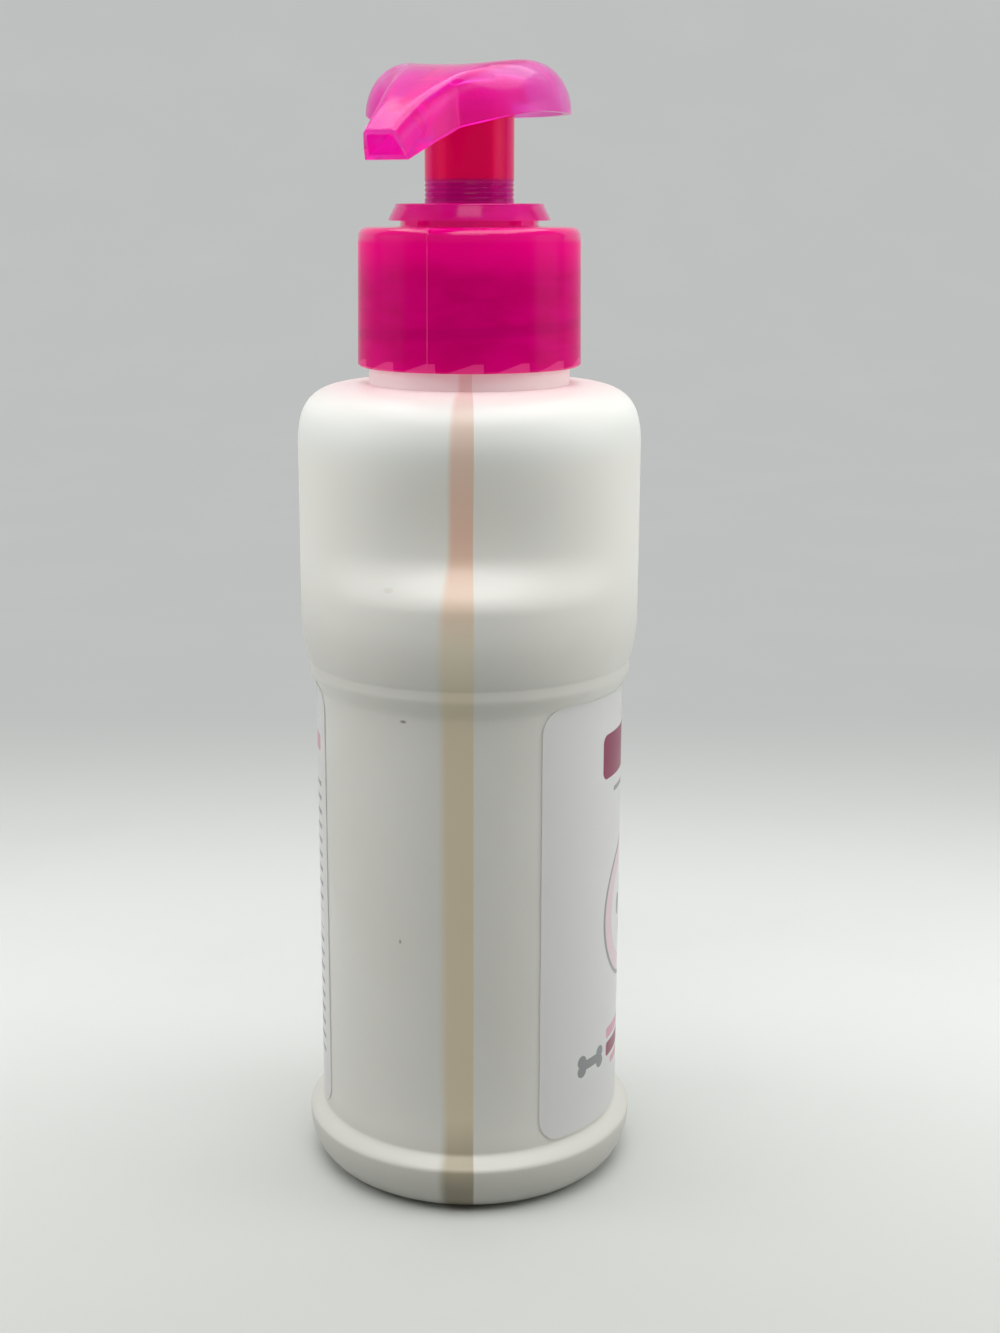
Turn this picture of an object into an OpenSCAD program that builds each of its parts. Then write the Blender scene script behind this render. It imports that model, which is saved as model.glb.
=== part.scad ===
// Pump dispenser bottle: a blown bottle with a scooped grip band, two film labels,
// a screw closure and a lotion pump whose head is pressed and turned by hand.
// The origin is the centre of the foot, +Z is up and the front label faces -Y.
// The scoops lie on the -X and +X sides.

/* [Bottle] */
// Diameter of the shoulder and grip band
body_d = 53; // [48:0.5:60]
// Step in from the grip band to the label panel, on the radius
panel_step = 2.3; // [1.8:0.1:2.8]
// Step out from the grip band to the base ring, on the radius
base_step = 0.5; // [0:0.1:1]
// Rounding between the base ring and the foot
base_round = 4.8; // [3.6:0.2:5.4]
// Width of the flat ring that the bottle stands on
foot_w = 2.6; // [1.6:0.2:4]
// Height of the push-up under the base
pushup_h = 2.4; // [1.2:0.2:3.2]
// Height of the base ring below the label panel
base_h = 9.6; // [8.4:0.2:13]
// Height of the label panel
panel_h = 73; // [66:1:84]
// Rise of the bead over the panel, on the radius
bead_step = 1.2; // [0.9:0.1:1.4]
// Height of the bead above the panel
bead_h = 3; // [2:0.2:5]
// Height over which the body swells from the bead to the grip band
swell_h = 6.4; // [4:0.2:8]
// Height of the grip band above the bead
grip_band_h = 30.5; // [28:0.5:36]
// Height of the rounded shoulder
shoulder_h = 11; // [9:0.5:14]
// Wall thickness of the blown bottle
bottle_wall = 1.1; // [0.8:0.1:1.4]
// Width of the pinch-off groove across the foot
pinch_w = 2.4; // [1:0.2:4]
// Depth of the pinch-off groove
pinch_depth = 0.6; // [0.3:0.1:1]

/* [Scoops] */
// Depth of each scoop
scoop_depth = 4.6; // [2:0.2:6]
// Height of the deepest point above the bead
scoop_z = 18.4; // [16:0.2:20]
// Reach of the scoop above its deepest point
scoop_up = 17; // [10:0.5:18]
// Reach of the scoop below its deepest point
scoop_down = 8; // [6:0.5:9]
// Angle from the middle of a scoop to its end
scoop_angle = 74; // [50:1:85]

/* [Neck] */
// Room between the pump housing and the bore of the neck
neck_room = 2.35; // [1.6:0.05:3]
// Wall thickness of the neck
neck_wall = 1.6; // [1.3:0.1:2]
// Height of the neck thread over the neck
thread_h = 1.1; // [0.9:0.1:1.3]
// How far the plain collar at the foot of the neck stands out past the thread
collar_over = 0.3; // [0.2:0.05:0.35]
// Height of the plain collar
collar_h = 5; // [4:0.2:6]
// Height of the thread's lower end above the collar
thread_start = 1.4; // [1:0.1:2]
// Height of the rim above the thread's upper end
neck_top = 4.3; // [3:0.1:6]
// Pitch of the thread
thread_pitch = 4.2; // [4:0.1:5]
// Turns of the neck thread
thread_turns = 1.5; // [1:0.1:1.6]
// Width of a thread ridge at its root
ridge_root_w = 2; // [1.6:0.1:2.2]
// Width of a thread ridge at its crest
ridge_crest_w = 1; // [0.6:0.1:1.2]

/* [Closure] */
// Wall thickness of the closure at its lower edge
closure_wall = 1.45; // [1.2:0.05:2]
// Gap between the shoulder and the lower edge of the closure
closure_gap = 2.7; // [1.5:0.1:3.2]
// Thickness of the closure's top
closure_top_t = 1.6; // [1.2:0.1:2.4]
// Taper of the closure wall on the radius, from its lower to its upper edge
closure_draft = 0.25; // [0:0.05:0.4]
// Rounding of the closure's upper edge
closure_round = 1.4; // [0.6:0.1:1.5]
// Number of ratchet notches inside the lower edge
notch_count = 15; // [8:1:15]
// Height of a notch
notch_h = 1.4; // [0.8:0.1:2]
// Depth of a notch into the wall
notch_depth = 0.7; // [0.4:0.1:0.9]
// Length of a notch around the edge
notch_len = 5.2; // [3:0.1:5.2]

/* [Pump body] */
// Thickness of the gasket
gasket_t = 1.2; // [0.8:0.1:2]
// How far the gasket and the housing flange stand out past the neck
flange_over = 0.1; // [0:0.05:0.3]
// Thickness of the housing flange
flange_t = 1.4; // [1:0.1:2]
// Room between the seat on top of the spring and the pump cylinder
plug_room = 0.8; // [0.5:0.1:1.2]
// Wall thickness of the housing
housing_wall = 1.1; // [0.8:0.1:1.3]
// Length of the pump cylinder that is left over from the travel
cylinder_rest = 20.4; // [19:0.2:28]
// Diameter of the dip tube
dip_tube_d = 6; // [5:0.2:7]
// Wall thickness of the dip tube
dip_tube_wall = 0.8; // [0.5:0.1:1]
// Depth of the socket that holds the dip tube
dip_socket_h = 9; // [6:0.5:12]
// Height of the dip tube's end above the floor of the bottle
dip_clear = 2.5; // [1:0.5:8]
// Diameter of the inlet ball and of the outlet ball
ball_d = 4.76; // [4.4:0.02:4.8]
// Lift of each ball off its seat
ball_lift = 1.5; // [1:0.1:2]
// Diameter of the wire of the return spring
spring_wire_d = 0.9; // [0.6:0.05:1]
// Mean diameter of the return spring
spring_d = 11.2; // [10.8:0.1:11.6]
// Turns of the return spring
spring_turns = 8; // [6:1:9]

/* [Guide collar] */
// Height of the collar above the closure
chaplet_h = 3.4; // [2.8:0.1:5]
// Width of the collar's flange over the closure
chaplet_w = 1.75; // [1.3:0.05:2.4]
// Taper of the flange on the radius, from its lower to its upper edge
chaplet_taper = 0.95; // [0.5:0.05:1.2]
// Height of the flange
chaplet_flange_h = 2.5; // [1.5:0.1:2.6]
// Step from the collar's plug out to where it passes the closure
pass_step = 1.6; // [1.2:0.1:2]
// Wall thickness of the well that guides the sleeve
well_wall = 1.9; // [1.5:0.1:2.3]
// Depth of the well left under the sleeve with the head down
well_rest = 1; // [0.5:0.1:3]
// Thickness of the floor of the well
well_floor_t = 1.5; // [1:0.1:2.5]

/* [Head] */
// Wall thickness of the sleeve
sleeve_wall = 1.13; // [0.8:0.01:1.3]
// Length of the sleeve inside the collar with the head up
sleeve_in = 2.9; // [2:0.1:3.5]
// Travel of the head
stroke = 12; // [8:0.5:12]
// Bore of the stem
stem_bore_d = 4.4; // [4:0.1:4.6]
// Wall thickness of the stem
stem_wall = 1.3; // [1.1:0.1:1.6]
// Wall thickness of the socket that holds the stem
socket_wall = 1.3; // [1:0.1:1.6]
// Room between the stem's socket and the sleeve
socket_room = 0.75; // [0.5:0.05:1.2]
// Diameter of the domed head
head_d = 30.4; // [28:0.2:34]
// Height of the dome above its rim
head_h = 7.5; // [6.5:0.1:9]
// Gap between the collar and the rim of the head with the head down
head_clear = 0.9; // [0.6:0.1:4]
// Diameter of the flat on top of the dome
deck_d = 18; // [16:0.2:20]
// Hollow of the finger deck
deck_dish = 0.4; // [0:0.1:0.8]
// Wall thickness of the dome
head_wall = 1.2; // [0.9:0.1:1.6]
// Diameter of the boss under the dome
boss_d = 18.2; // [15:0.2:20]
// Reach of the nozzle from the axis along its lower edge
nozzle_reach = 26.9; // [24:0.2:34]
// Forward rake of the nozzle's upper lip
nozzle_rake = 2.2; // [0:0.1:3]
// Fall of the nozzle's upper edge from the deck to the tip
nozzle_drop = 10.6; // [8:0.1:12]
// Height of the nozzle's tip
tip_h = 4; // [3.4:0.1:5]
// Width of the nozzle's tip along its upper edge
tip_top_w = 4.8; // [4:0.1:5.6]
// Width of the nozzle's tip along its lower edge
tip_low_w = 6.7; // [5.4:0.1:8]
// Wall thickness round the nozzle's mouth
tip_wall = 0.65; // [0.5:0.05:0.8]
// Depth of the nozzle's mouth
mouth_depth = 6; // [4:0.2:6.4]
// Bore of the duct in the nozzle
duct_d = 2.8; // [2:0.1:3]
// Wall thickness of the duct where it crosses the hollow of the head
duct_wall = 1; // [0.8:0.1:1.3]
// Direction of the nozzle with the head at rest
nozzle_angle = 155; // [0:5:355]

/* [Labels] */
// Width of the front label round the panel
front_label_w = 53.5; // [36:0.5:60]
// Width of the back label round the panel
back_label_w = 18.6; // [12:0.2:56]
// Gap between a label and each end of the panel
label_margin = 1.2; // [1:0.1:6]
// Drop of both labels below the middle of the panel
label_drop = 0.8; // [0:0.1:0.9]
// Corner radius of both labels
label_round = 4; // [1:0.2:8]
// Thickness of the label film
label_t = 0.15; // [0.1:0.05:0.3]

/* [Fits] */
// Axial gap between the closure and the flange that it holds down
seat_gap = 0.1; // [0.05:0.05:0.3]
// Radial gap between the crests and roots of the two threads
thread_gap = 0.4; // [0.3:0.05:0.5]
// Radial gap between the crest of the neck thread and the bore of the closure
thread_room = 0.55; // [0.5:0.05:0.8]
// Radial gap of the turning and sliding guides
guide_gap = 0.27; // [0.15:0.01:0.35]
// Radial gap of the sealing lips and pressed fits
seal_gap = 0.05; // [0.02:0.01:0.08]
// Gap between the sliding stem and its upper stop
stop_gap = 0.3; // [0.1:0.05:0.5]
// Gap between a label and the panel
label_gap = 0.02; // [0.01:0.01:0.05]

/* [Hidden] */

$fn = 96;

// Radii of the bottle
body_r = body_d / 2;
panel_r = body_r - panel_step;
bead_r = panel_r + bead_step;
base_r = body_r + base_step;
foot_r = base_r - base_round;

// Radii of the pump, the neck and the closure, each on the one inside it
stem_bore_r = stem_bore_d / 2;
stem_r = stem_bore_r + stem_wall;
socket_r = stem_r + seal_gap;
socket_out_r = socket_r + socket_wall;
sleeve_in_r = socket_out_r + socket_room;
sleeve_r = sleeve_in_r + sleeve_wall;
well_r = sleeve_r + guide_gap;
collar_plug_r = well_r + well_wall;
housing_bore_r = collar_plug_r + seal_gap;
housing_r = housing_bore_r + housing_wall;
bore_r = housing_r + neck_room;
neck_r = bore_r + neck_wall;
flange_r = neck_r + flange_over;
thread_r = neck_r + thread_h;
collar_r = thread_r + collar_over;
closure_bore_r = thread_r + thread_room;
closure_r = closure_bore_r + closure_wall;
pass_r = collar_plug_r + pass_step;
chaplet_r = pass_r + chaplet_w;

// Radii of the spring, the cylinder, the valves, the dip tube and the head
spring_r = spring_d / 2;
plug_flange_r = spring_r + spring_wire_d;
cylinder_r = plug_flange_r + plug_room;
ball_r = ball_d / 2;
tube_r = dip_tube_d / 2;
head_r = head_d / 2;
deck_r = deck_d / 2;

// Heights up the bottle
panel_top_z = base_h + panel_h;
bead_top_z = panel_top_z + bead_h;
band_z = bead_top_z + swell_h;
shoulder_z = bead_top_z + grip_band_h;
neck_z = shoulder_z + shoulder_h;
neck_h = collar_h + thread_start + (thread_turns + 0.5) * thread_pitch + neck_top;
rim_z = neck_z + neck_h;
scoop_mid_z = bead_top_z + scoop_z;
floor_z = pushup_h + bottle_wall;
label_h = panel_h - 2 * label_margin;

// Heights up the closure and the pump
flange_z = rim_z + gasket_t;
flange_top_z = flange_z + flange_t;
closure_under_z = flange_top_z + seat_gap;
closure_top_z = closure_under_z + closure_top_t;
closure_z = neck_z + closure_gap;
thread_root = 0.6;
chaplet_top_z = closure_top_z + chaplet_h;
well_z = chaplet_top_z - sleeve_in - stroke - well_rest;
well_under_z = well_z - well_floor_t;
cylinder_top_z = well_under_z - seal_gap;
cylinder_floor_z = cylinder_top_z - stroke - cylinder_rest;

// Inlet valve: a ball on a 45 degree seat, held by a lip
seat_bore_r = 0.68 * ball_r;
ball_room_r = ball_r + 2 * guide_gap;
lip_r = 0.95 * ball_r;
lip_h = 0.6;
inlet_seat_z = cylinder_floor_z - 0.86 * ball_d - ball_lift;
inlet_ball_z = inlet_seat_z - seat_bore_r + (ball_r + seal_gap) * sqrt(2);
inlet_bore_h = 1.9;
socket_top_z = inlet_seat_z - inlet_bore_h;
socket_z = socket_top_z - dip_socket_h;
tail_r = tube_r + seal_gap + housing_wall;

// Plunger: stem, shoulder, piston and plug, from the upper stop down
stem_stop_z = well_under_z - stop_gap;
shoulder_t = 1.5;
stem_shoulder_r = 1.4 * stem_r;
piston_h = 5;
piston_top_z = stem_stop_z - shoulder_t - seal_gap;
piston_z = piston_top_z - piston_h;
stem_z = piston_z - seal_gap;
plug_flange_t = 1.2;
plug_z = stem_z - seal_gap - plug_flange_t;
plug_shank_h = 4.5;
plug_wall = 0.85;
plug_bore_r = stem_bore_r - seal_gap - plug_wall;
plug_guide_h = 1.5;

// Heights up the head
sleeve_z = chaplet_top_z - sleeve_in;
head_rim_z = chaplet_top_z + stroke + head_clear;
head_top_z = head_rim_z + head_h;
boss_up = 1.7;
boss_z = head_rim_z + boss_up;
socket_up = 6;
socket_low_z = sleeve_z + socket_up;
stem_top_z = boss_z - seal_gap;
outlet_room_r = 1.09 * ball_r;
outlet_seat_r = 0.72 * ball_r;
outlet_seat_h = 1;
outlet_seat_z = stem_top_z - 0.97 * ball_d - ball_lift;
outlet_ball_z = outlet_seat_z - outlet_seat_r + (ball_r + seal_gap) * sqrt(2);
tip_low_z = head_top_z - nozzle_drop - tip_h;

// Point on a circle or ellipse of half-axes a and b
function on_ellipse(c, a, b, ang) = [c[0] + a * cos(ang), c[1] + b * sin(ang)];

// Arc from angle a0 to angle a1 in n steps
function arc(c, r, a0, a1, n = 8) = [for (i = [0:n]) on_ellipse(c, r, r, a0 + (a1 - a0) * i / n)];

// Smooth step from point p to point q, upright at both ends
function s_curve(p, q, n = 8) =
    [for (i = [0:n]) [p[0] + (q[0] - p[0]) * (1 - cos(180 * i / n)) / 2, p[1] + (q[1] - p[1]) * i / n]];

function mix(a, b, t) = a + (b - a) * t;
function clamp01(t) = min(max(t, 0), 1);
function ease(t) = let (c = clamp01(t)) c * c * (3 - 2 * c);

// Ramp that starts at zero with a rounded corner of half-width w
function soft_ramp(x, w) = x >= w ? x : x <= -w ? 0 : (x + w) * (x + w) / (4 * w);

// Break of a moulded edge
edge_break = 0.3;

// Solid through a stack of rings with equal point counts, each ring anticlockwise seen from the far end
module loft(rings) {
    n = len(rings[0]);
    last = (len(rings) - 1) * n;
    points = [for (ring = rings) each ring];
    low_cap = [[for (i = [0:n - 1]) i]];
    high_cap = [[for (i = [n - 1:-1:0]) last + i]];
    sides = [
        for (k = [0:len(rings) - 2], i = [0:n - 1])
            let (a = k * n + i, b = k * n + (i + 1) % n)
                each [[a, a + n, b + n], [a, b + n, b]]
    ];
    polyhedron(points = points, faces = concat(low_cap, high_cap, sides));
}

// Helical ridge: crest_r and root_r give its section, z0 its middle height at angle zero
module thread_ridge(root_r, crest_r, z0, turns) {
    steps_per_turn = 24;
    steps = round(turns * steps_per_turn);
    fade = steps_per_turn / 6;
    rings = [
        for (i = [0:steps])
            let (
                ang = 360 * i / steps_per_turn,
                z = z0 + thread_pitch * i / steps_per_turn,
                full = clamp01(min(i, steps - i) / fade),
                tip_r = mix(root_r + sign(crest_r - root_r) * edge_break, crest_r, full),
                low_r = min(root_r, tip_r),
                high_r = max(root_r, tip_r),
                low_w = crest_r > root_r ? ridge_root_w : ridge_crest_w,
                high_w = crest_r > root_r ? ridge_crest_w : ridge_root_w,
                section = [[low_r, -low_w], [high_r, -high_w], [high_r, high_w], [low_r, low_w]]
            )
                [for (p = section) [p[0] * cos(ang), p[0] * sin(ang), z + p[1] / 2]]
    ];
    loft([for (ring = rings) [for (i = [3:-1:0]) ring[i]]]);
}

// Point of the shoulder's outline without its scoops, shrunk by the wall t, at share q of the way up
function shoulder_point(q, t) =
    let (power = 0.8, foot = (t > 0 ? bore_r : collar_r), ang = 90 * q)
        [
            foot + (body_r - t - foot) * pow(cos(ang), power),
            shoulder_z + (shoulder_h - t) * pow(sin(ang), power)
        ];

// Depth of the scoops at height z and angle ang
function scoop(z, ang) =
    let (
        dz = z - scoop_mid_z,
        reach = dz > 0 ? scoop_up : scoop_down,
        off = abs((ang + 90) % 180 - 90),
        along = abs(dz) < reach ? pow(cos(90 * dz / reach), 2) : 0,
        around = off < scoop_angle ? pow(cos(90 * off / scoop_angle), 2) : 0
    )
        scoop_depth * along * around;

// Grip band and shoulder as a loft of scooped rings, shrunk by the wall t.
// Its lowest ring is moved by inset, to leave a tongue that stands in the wall below.
module scooped_band(t, inset, low_z, sides, band_steps, shoulder_steps) {
    spread = t > 0 ? 1 / cos(180 / sides) : 1;
    profile = concat(
        [[body_r - t - inset, low_z]],
        [for (i = [0:band_steps - 1]) [body_r - t, mix(band_z + 0.05, shoulder_z, i / band_steps)]],
        [for (i = [0:shoulder_steps]) shoulder_point(0.97 * i / shoulder_steps, t)]
    );
    loft([
        for (p = profile)
            [
                for (i = [0:sides - 1])
                    let (ang = 360 * i / sides, r = (p[0] - scoop(p[1], ang)) * spread)
                        [r * cos(ang), r * sin(ang), p[1]]
            ]
    ]);
}

module band_shell() {
    inset = 0.3 * bottle_wall;
    difference() {
        scooped_band(0, inset, band_z - 1, 64, 12, 9);
        scooped_band(bottle_wall, -inset, band_z - 1.2, 48, 8, 6);
    }
}

// Outer line of the lower bottle, from the axis under the base to the grip band
function lower_outline() =
    let (foot_in = foot_r - foot_w, corner_z = base_round)
        concat(
            [for (i = [0:8]) [foot_in * i / 8, pushup_h * (1 + cos(180 * i / 8)) / 2]],
            arc([foot_r, corner_z], base_round, -90, 0),
            s_curve([base_r, corner_z + 1], [panel_r, base_h]),
            s_curve([panel_r, panel_top_z], [bead_r, panel_top_z + 0.36 * bead_h], 4),
            [[bead_r, panel_top_z + 0.7 * bead_h], [bead_r - 0.25, panel_top_z + 0.86 * bead_h]],
            [
                for (i = [0:6])
                    on_ellipse([bead_r - 0.1, band_z], body_r - bead_r + 0.1, -swell_h, 90 - 15 * i)
            ]
        );

// Inner line of the lower bottle, from the grip band down to the axis
function lower_inside() =
    let (t = bottle_wall, foot_in = foot_r - foot_w, corner_z = base_round)
        concat(
            [[body_r - t, band_z], [bead_r - t, panel_top_z + bead_h], [panel_r - t, panel_top_z]],
            s_curve([panel_r - t, base_h], [base_r - t, corner_z + 1], 6),
            arc([foot_r, corner_z], base_round - t, 0, -90, 6),
            [for (i = [8:-1:0]) [foot_in * i / 8, t + pushup_h * (1 + cos(180 * i / 8)) / 2]]
        );

module bottle() {
    collar_z = neck_z - 0.7 * bottle_wall;
    color("white")
        difference() {
            union() {
                difference() {
                    rotate_extrude() polygon(concat(lower_outline(), lower_inside()));
                    pinch_off();
                }
                band_shell();
                translate([0, 0, collar_z]) cylinder(r = collar_r, h = neck_z + collar_h - collar_z);
                translate([0, 0, neck_z]) cylinder(r = neck_r, h = neck_h);
                thread_ridge(neck_r - thread_root, thread_r, neck_thread_z(), thread_turns);
            }
            translate([0, 0, shoulder_z]) cylinder(r = bore_r, h = shoulder_h + neck_h + 1);
        }
}

// Middle height of the neck thread at angle zero
function neck_thread_z() = neck_z + collar_h + thread_start + thread_pitch / 2;

// Groove that the mould's pinch-off leaves across the foot
module pinch_off() {
    rotate([90, 0, 90])
        linear_extrude(height = 2 * base_r, center = true)
            polygon([
                [-pinch_w / 2, -1], [pinch_w / 2, -1], [pinch_w / 2, 0],
                [pinch_w / 6, pinch_depth], [-pinch_w / 6, pinch_depth], [-pinch_w / 2, 0]
            ]);
}

// Film label of width w round the panel, facing -Y
module film_label(w) {
    r = panel_r + label_gap;
    corners = [[1, 1], [-1, 1], [-1, -1], [1, -1]];
    outline = [
        for (q = [0:3])
            for (i = [0:6])
                let (
                    ang = 90 * q + 15 * i,
                    x = corners[q][0] * (w / 2 - label_round) + label_round * cos(ang),
                    z = corners[q][1] * (label_h / 2 - label_round) + label_round * sin(ang)
                )
                    [r * sin(x / r * 180 / PI), z]
    ];
    intersection() {
        translate([0, 0, base_h])
            difference() {
                cylinder(r = r + label_t, h = panel_h);
                translate([0, 0, -1]) cylinder(r = r, h = panel_h + 2);
            }
        translate([0, 0, base_h + panel_h / 2 - label_drop])
            rotate([90, 0, 0])
                linear_extrude(height = 2 * panel_r)
                    polygon(outline);
    }
}

module front_label() {
    color("ghostwhite") film_label(front_label_w);
}

module back_label() {
    color("ghostwhite") rotate([0, 0, 180]) film_label(back_label_w);
}

// Ratchet notches with a ramp and a steep end, cut from inside the closure's lower edge
module ratchet_notches() {
    start_r = closure_bore_r - 1;
    ramp_len = 0.75 * notch_len;
    below = 0.2;
    intersection() {
        translate([0, 0, closure_z - 1]) cylinder(r = closure_bore_r + notch_depth, h = notch_h + 2);
        for (i = [0:notch_count - 1])
            rotate([0, 0, 360 * i / notch_count])
                translate([start_r, 0, closure_z])
                    rotate([90, 0, 90])
                        linear_extrude(height = closure_bore_r + notch_depth - start_r)
                            polygon([
                                [-below * ramp_len / notch_h, -below], [ramp_len, notch_h],
                                [notch_len, notch_h], [notch_len, -below]
                            ]);
    }
}

module closure() {
    high_r = closure_r - closure_draft;
    hole_r = pass_r + guide_gap;
    color("mediumvioletred")
        difference() {
            union() {
                rotate_extrude()
                    polygon(concat(
                        [[closure_bore_r, closure_z], [closure_r - edge_break, closure_z]],
                        [[closure_r, closure_z + edge_break]],
                        arc([high_r - closure_round, closure_top_z - closure_round], closure_round, 0, 90),
                        [[hole_r, closure_top_z], [hole_r, closure_under_z]],
                        [[closure_bore_r, closure_under_z]]
                    ));
                thread_ridge(
                    closure_bore_r + thread_root, neck_r + thread_gap, neck_thread_z() - thread_pitch / 2,
                    thread_turns - 0.35
                );
            }
            ratchet_notches();
        }
}

module gasket() {
    color("gainsboro")
        translate([0, 0, rim_z])
            difference() {
                cylinder(r = flange_r, h = gasket_t);
                translate([0, 0, -1]) cylinder(r = housing_r + guide_gap, h = gasket_t + 2);
            }
}

module housing() {
    low_r = cylinder_r + housing_wall;
    step_z = cylinder_top_z - housing_wall;
    tail_top_z = inlet_seat_z + 1;
    room_top_z = cylinder_floor_z - lip_h;
    color("whitesmoke")
        rotate_extrude()
            polygon([
                [tube_r + seal_gap, socket_z], [tail_r, socket_z], [tail_r, tail_top_z],
                [low_r, cylinder_floor_z - housing_wall], [low_r, step_z], [housing_r, step_z + 1.6],
                [housing_r, flange_z], [flange_r, flange_z], [flange_r, flange_top_z],
                [housing_bore_r, flange_top_z], [housing_bore_r, cylinder_top_z],
                [cylinder_r, cylinder_top_z], [cylinder_r, cylinder_floor_z],
                [lip_r, cylinder_floor_z], [lip_r, room_top_z],
                [ball_room_r, room_top_z - 0.5], [ball_room_r, inlet_seat_z + ball_room_r - seat_bore_r],
                [seat_bore_r, inlet_seat_z], [seat_bore_r, socket_top_z], [tube_r + seal_gap, socket_top_z]
            ]);
}

module chaplet() {
    top_r = chaplet_r - chaplet_taper;
    flange_low_z = chaplet_top_z - chaplet_flange_h;
    lug_w = 2.7;
    root = edge_break;
    lug_t = flange_low_z - closure_top_z - 2 * seat_gap;
    color("deeppink") {
        rotate_extrude()
            polygon([
                [well_r, chaplet_top_z], [well_r, well_z], [stem_r + guide_gap, well_z],
                [stem_r + guide_gap, well_under_z], [collar_plug_r, well_under_z],
                [collar_plug_r, flange_top_z], [pass_r, flange_top_z],
                [pass_r, flange_low_z], [chaplet_r, flange_low_z],
                [chaplet_r, flange_low_z + edge_break], [top_r, chaplet_top_z - edge_break],
                [top_r - edge_break, chaplet_top_z]
            ]);
        for (i = [0:3])
            rotate([0, 0, 45 + 90 * i])
                translate([pass_r - root, -lug_w / 2, flange_low_z - lug_t])
                    cube([chaplet_r - pass_r, lug_w, lug_t + root]);
    }
}

// Height of the rim at distance s along the nozzle
function rim_at(s) =
    let (start = 0.323 * nozzle_reach, bend = 0.149 * nozzle_reach, fall = head_rim_z - tip_low_z)
        head_rim_z - fall * soft_ramp(s - start, bend) / (nozzle_reach - start);

// Forward lean of the upper edge over the rim at distance s
function rake_at(s) = let (start = 0.372) nozzle_rake * ease((s / nozzle_reach - start) / (1 - start));

// Height of the deck over the place p along the nozzle
function deck_line(p) = head_top_z - nozzle_drop * pow(max(p, 0) / (nozzle_reach + nozzle_rake), 2);

// Height of the upper edge of the ring at distance s
function deck_at(s) = deck_line(s + rake_at(s));

// Half-width of the head's outline at distance s: the dome's circle swept into the nozzle
function rim_half(s) =
    let (
        q = s / nozzle_reach,
        round_w = sqrt(max(head_r * head_r - s * s, 0)),
        nozzle_w = tip_low_w / 2 + 0.16 * (nozzle_reach - s),
        k = 0.197 * head_r * ease(q / 0.3) * (1 - ease((q - 0.595) / 0.3))
    )
        s <= 0 ? round_w : (round_w + nozzle_w + sqrt(pow(round_w - nozzle_w, 2) + k * k)) / 2;

// Half-width of the deck at distance s
function deck_half(s) =
    s <= 0
        ? sqrt(max(deck_r * deck_r - s * s, 0))
        : tip_top_w / 2 + (deck_r - tip_top_w / 2) * pow(1 - s / nozzle_reach, 1.5);

// Height of the dome's back, a flat with a quarter-ellipse round it, at radius r
function dome_z(r) =
    let (q = clamp01((r - deck_r) / (head_r - deck_r)))
        head_rim_z + head_h * sqrt(1 - q * q);

// Half outline of the head across the nozzle at distance s, rim first
function head_half_section(s) =
    let (
        wr = rim_half(s),
        wd = deck_half(s),
        zr = rim_at(s),
        zd = deck_at(s),
        straight = 0.75 * ease((s / nozzle_reach - 0.223) / 0.595),
        side = 8,
        deck = 3
    )
        concat(
            [
                for (i = [0:side])
                    let (
                        ang = 90 * i / side,
                        u = wd + (wr - wd) * mix(cos(ang), 1 - i / side, straight),
                        z = s <= 0
                            ? dome_z(norm([s, u]))
                            : zr + (zd - zr) * mix(sin(ang), i / side, straight)
                    )
                        [u, z]
            ],
            [
                for (i = [1:deck])
                    let (q = 1 - i / (deck + 0.5), top = s <= 0 ? dome_z(norm([s, wd * q])) : zd)
                        [wd * q, top - deck_dish * (1 - q * q) * wd / deck_r]
            ]
        );

// Full ring at distance s, raked forward near the tip
function head_ring(s) =
    let (
        half = head_half_section(s),
        n = len(half),
        rake = rake_at(s),
        low = rim_at(s),
        height = deck_at(s) - low,
        outline = concat(half, [for (i = [n - 1:-1:0]) [-half[i][0], half[i][1]]])
    )
        [for (p = outline) [s + rake * (p[1] - low) / height, p[0], p[1]]];

module head_outer() {
    back = [for (i = [0:9]) -head_r * cos(4 + 86 * i / 9)];
    front = [for (i = [1:18]) nozzle_reach * i / 18];
    loft([for (s = concat(back, front)) head_ring(s)]);
}

// Hollow under the dome and along the nozzle, open below, that ends in a web before the mouth
module head_hollow() {
    inner_r = head_r - head_wall;
    web_s = 0.758 * nozzle_reach;
    side = 7;
    back = [for (i = [0:8]) -inner_r * cos(5 + 85 * i / 8)];
    front = [for (i = [1:11]) web_s * i / 11];
    rings = [
        for (s = concat(back, front))
            let (
                wr = s <= 0 ? sqrt(inner_r * inner_r - s * s) : rim_half(s) - head_wall,
                wd = max(min(deck_half(s), wr) - head_wall / 6, head_wall / 24),
                low = rim_at(s),
                high = (s <= 0 ? dome_z(abs(s) + head_wall) : deck_line(s) - deck_dish) - head_wall,
                half = concat(
                    [[wr, low - 2 * head_wall]],
                    [
                        for (i = [0:side])
                            let (ang = 90 * i / side)
                                [wd + (wr - wd) * cos(ang), low + (high - low) * sin(ang)]
                    ]
                ),
                n = len(half)
            )
                [for (p = concat(half, [for (i = [n - 1:-1:0]) [-half[i][0], half[i][1]]])) [s, p[0], p[1]]]
    ];
    loft(rings);
}

// Middle of the duct, which runs level over the stem to a bend and then straight to the nozzle's mouth,
// as distance along the nozzle and height
duct_up = 2.6;
duct_bend = [0.223 * nozzle_reach, boss_z + duct_up];
duct_end = [nozzle_reach + nozzle_rake / 2, tip_low_z + tip_h / 2];
duct_run = duct_end - duct_bend;
duct_fall = atan2(-duct_run[1], duct_run[0]);

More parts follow.
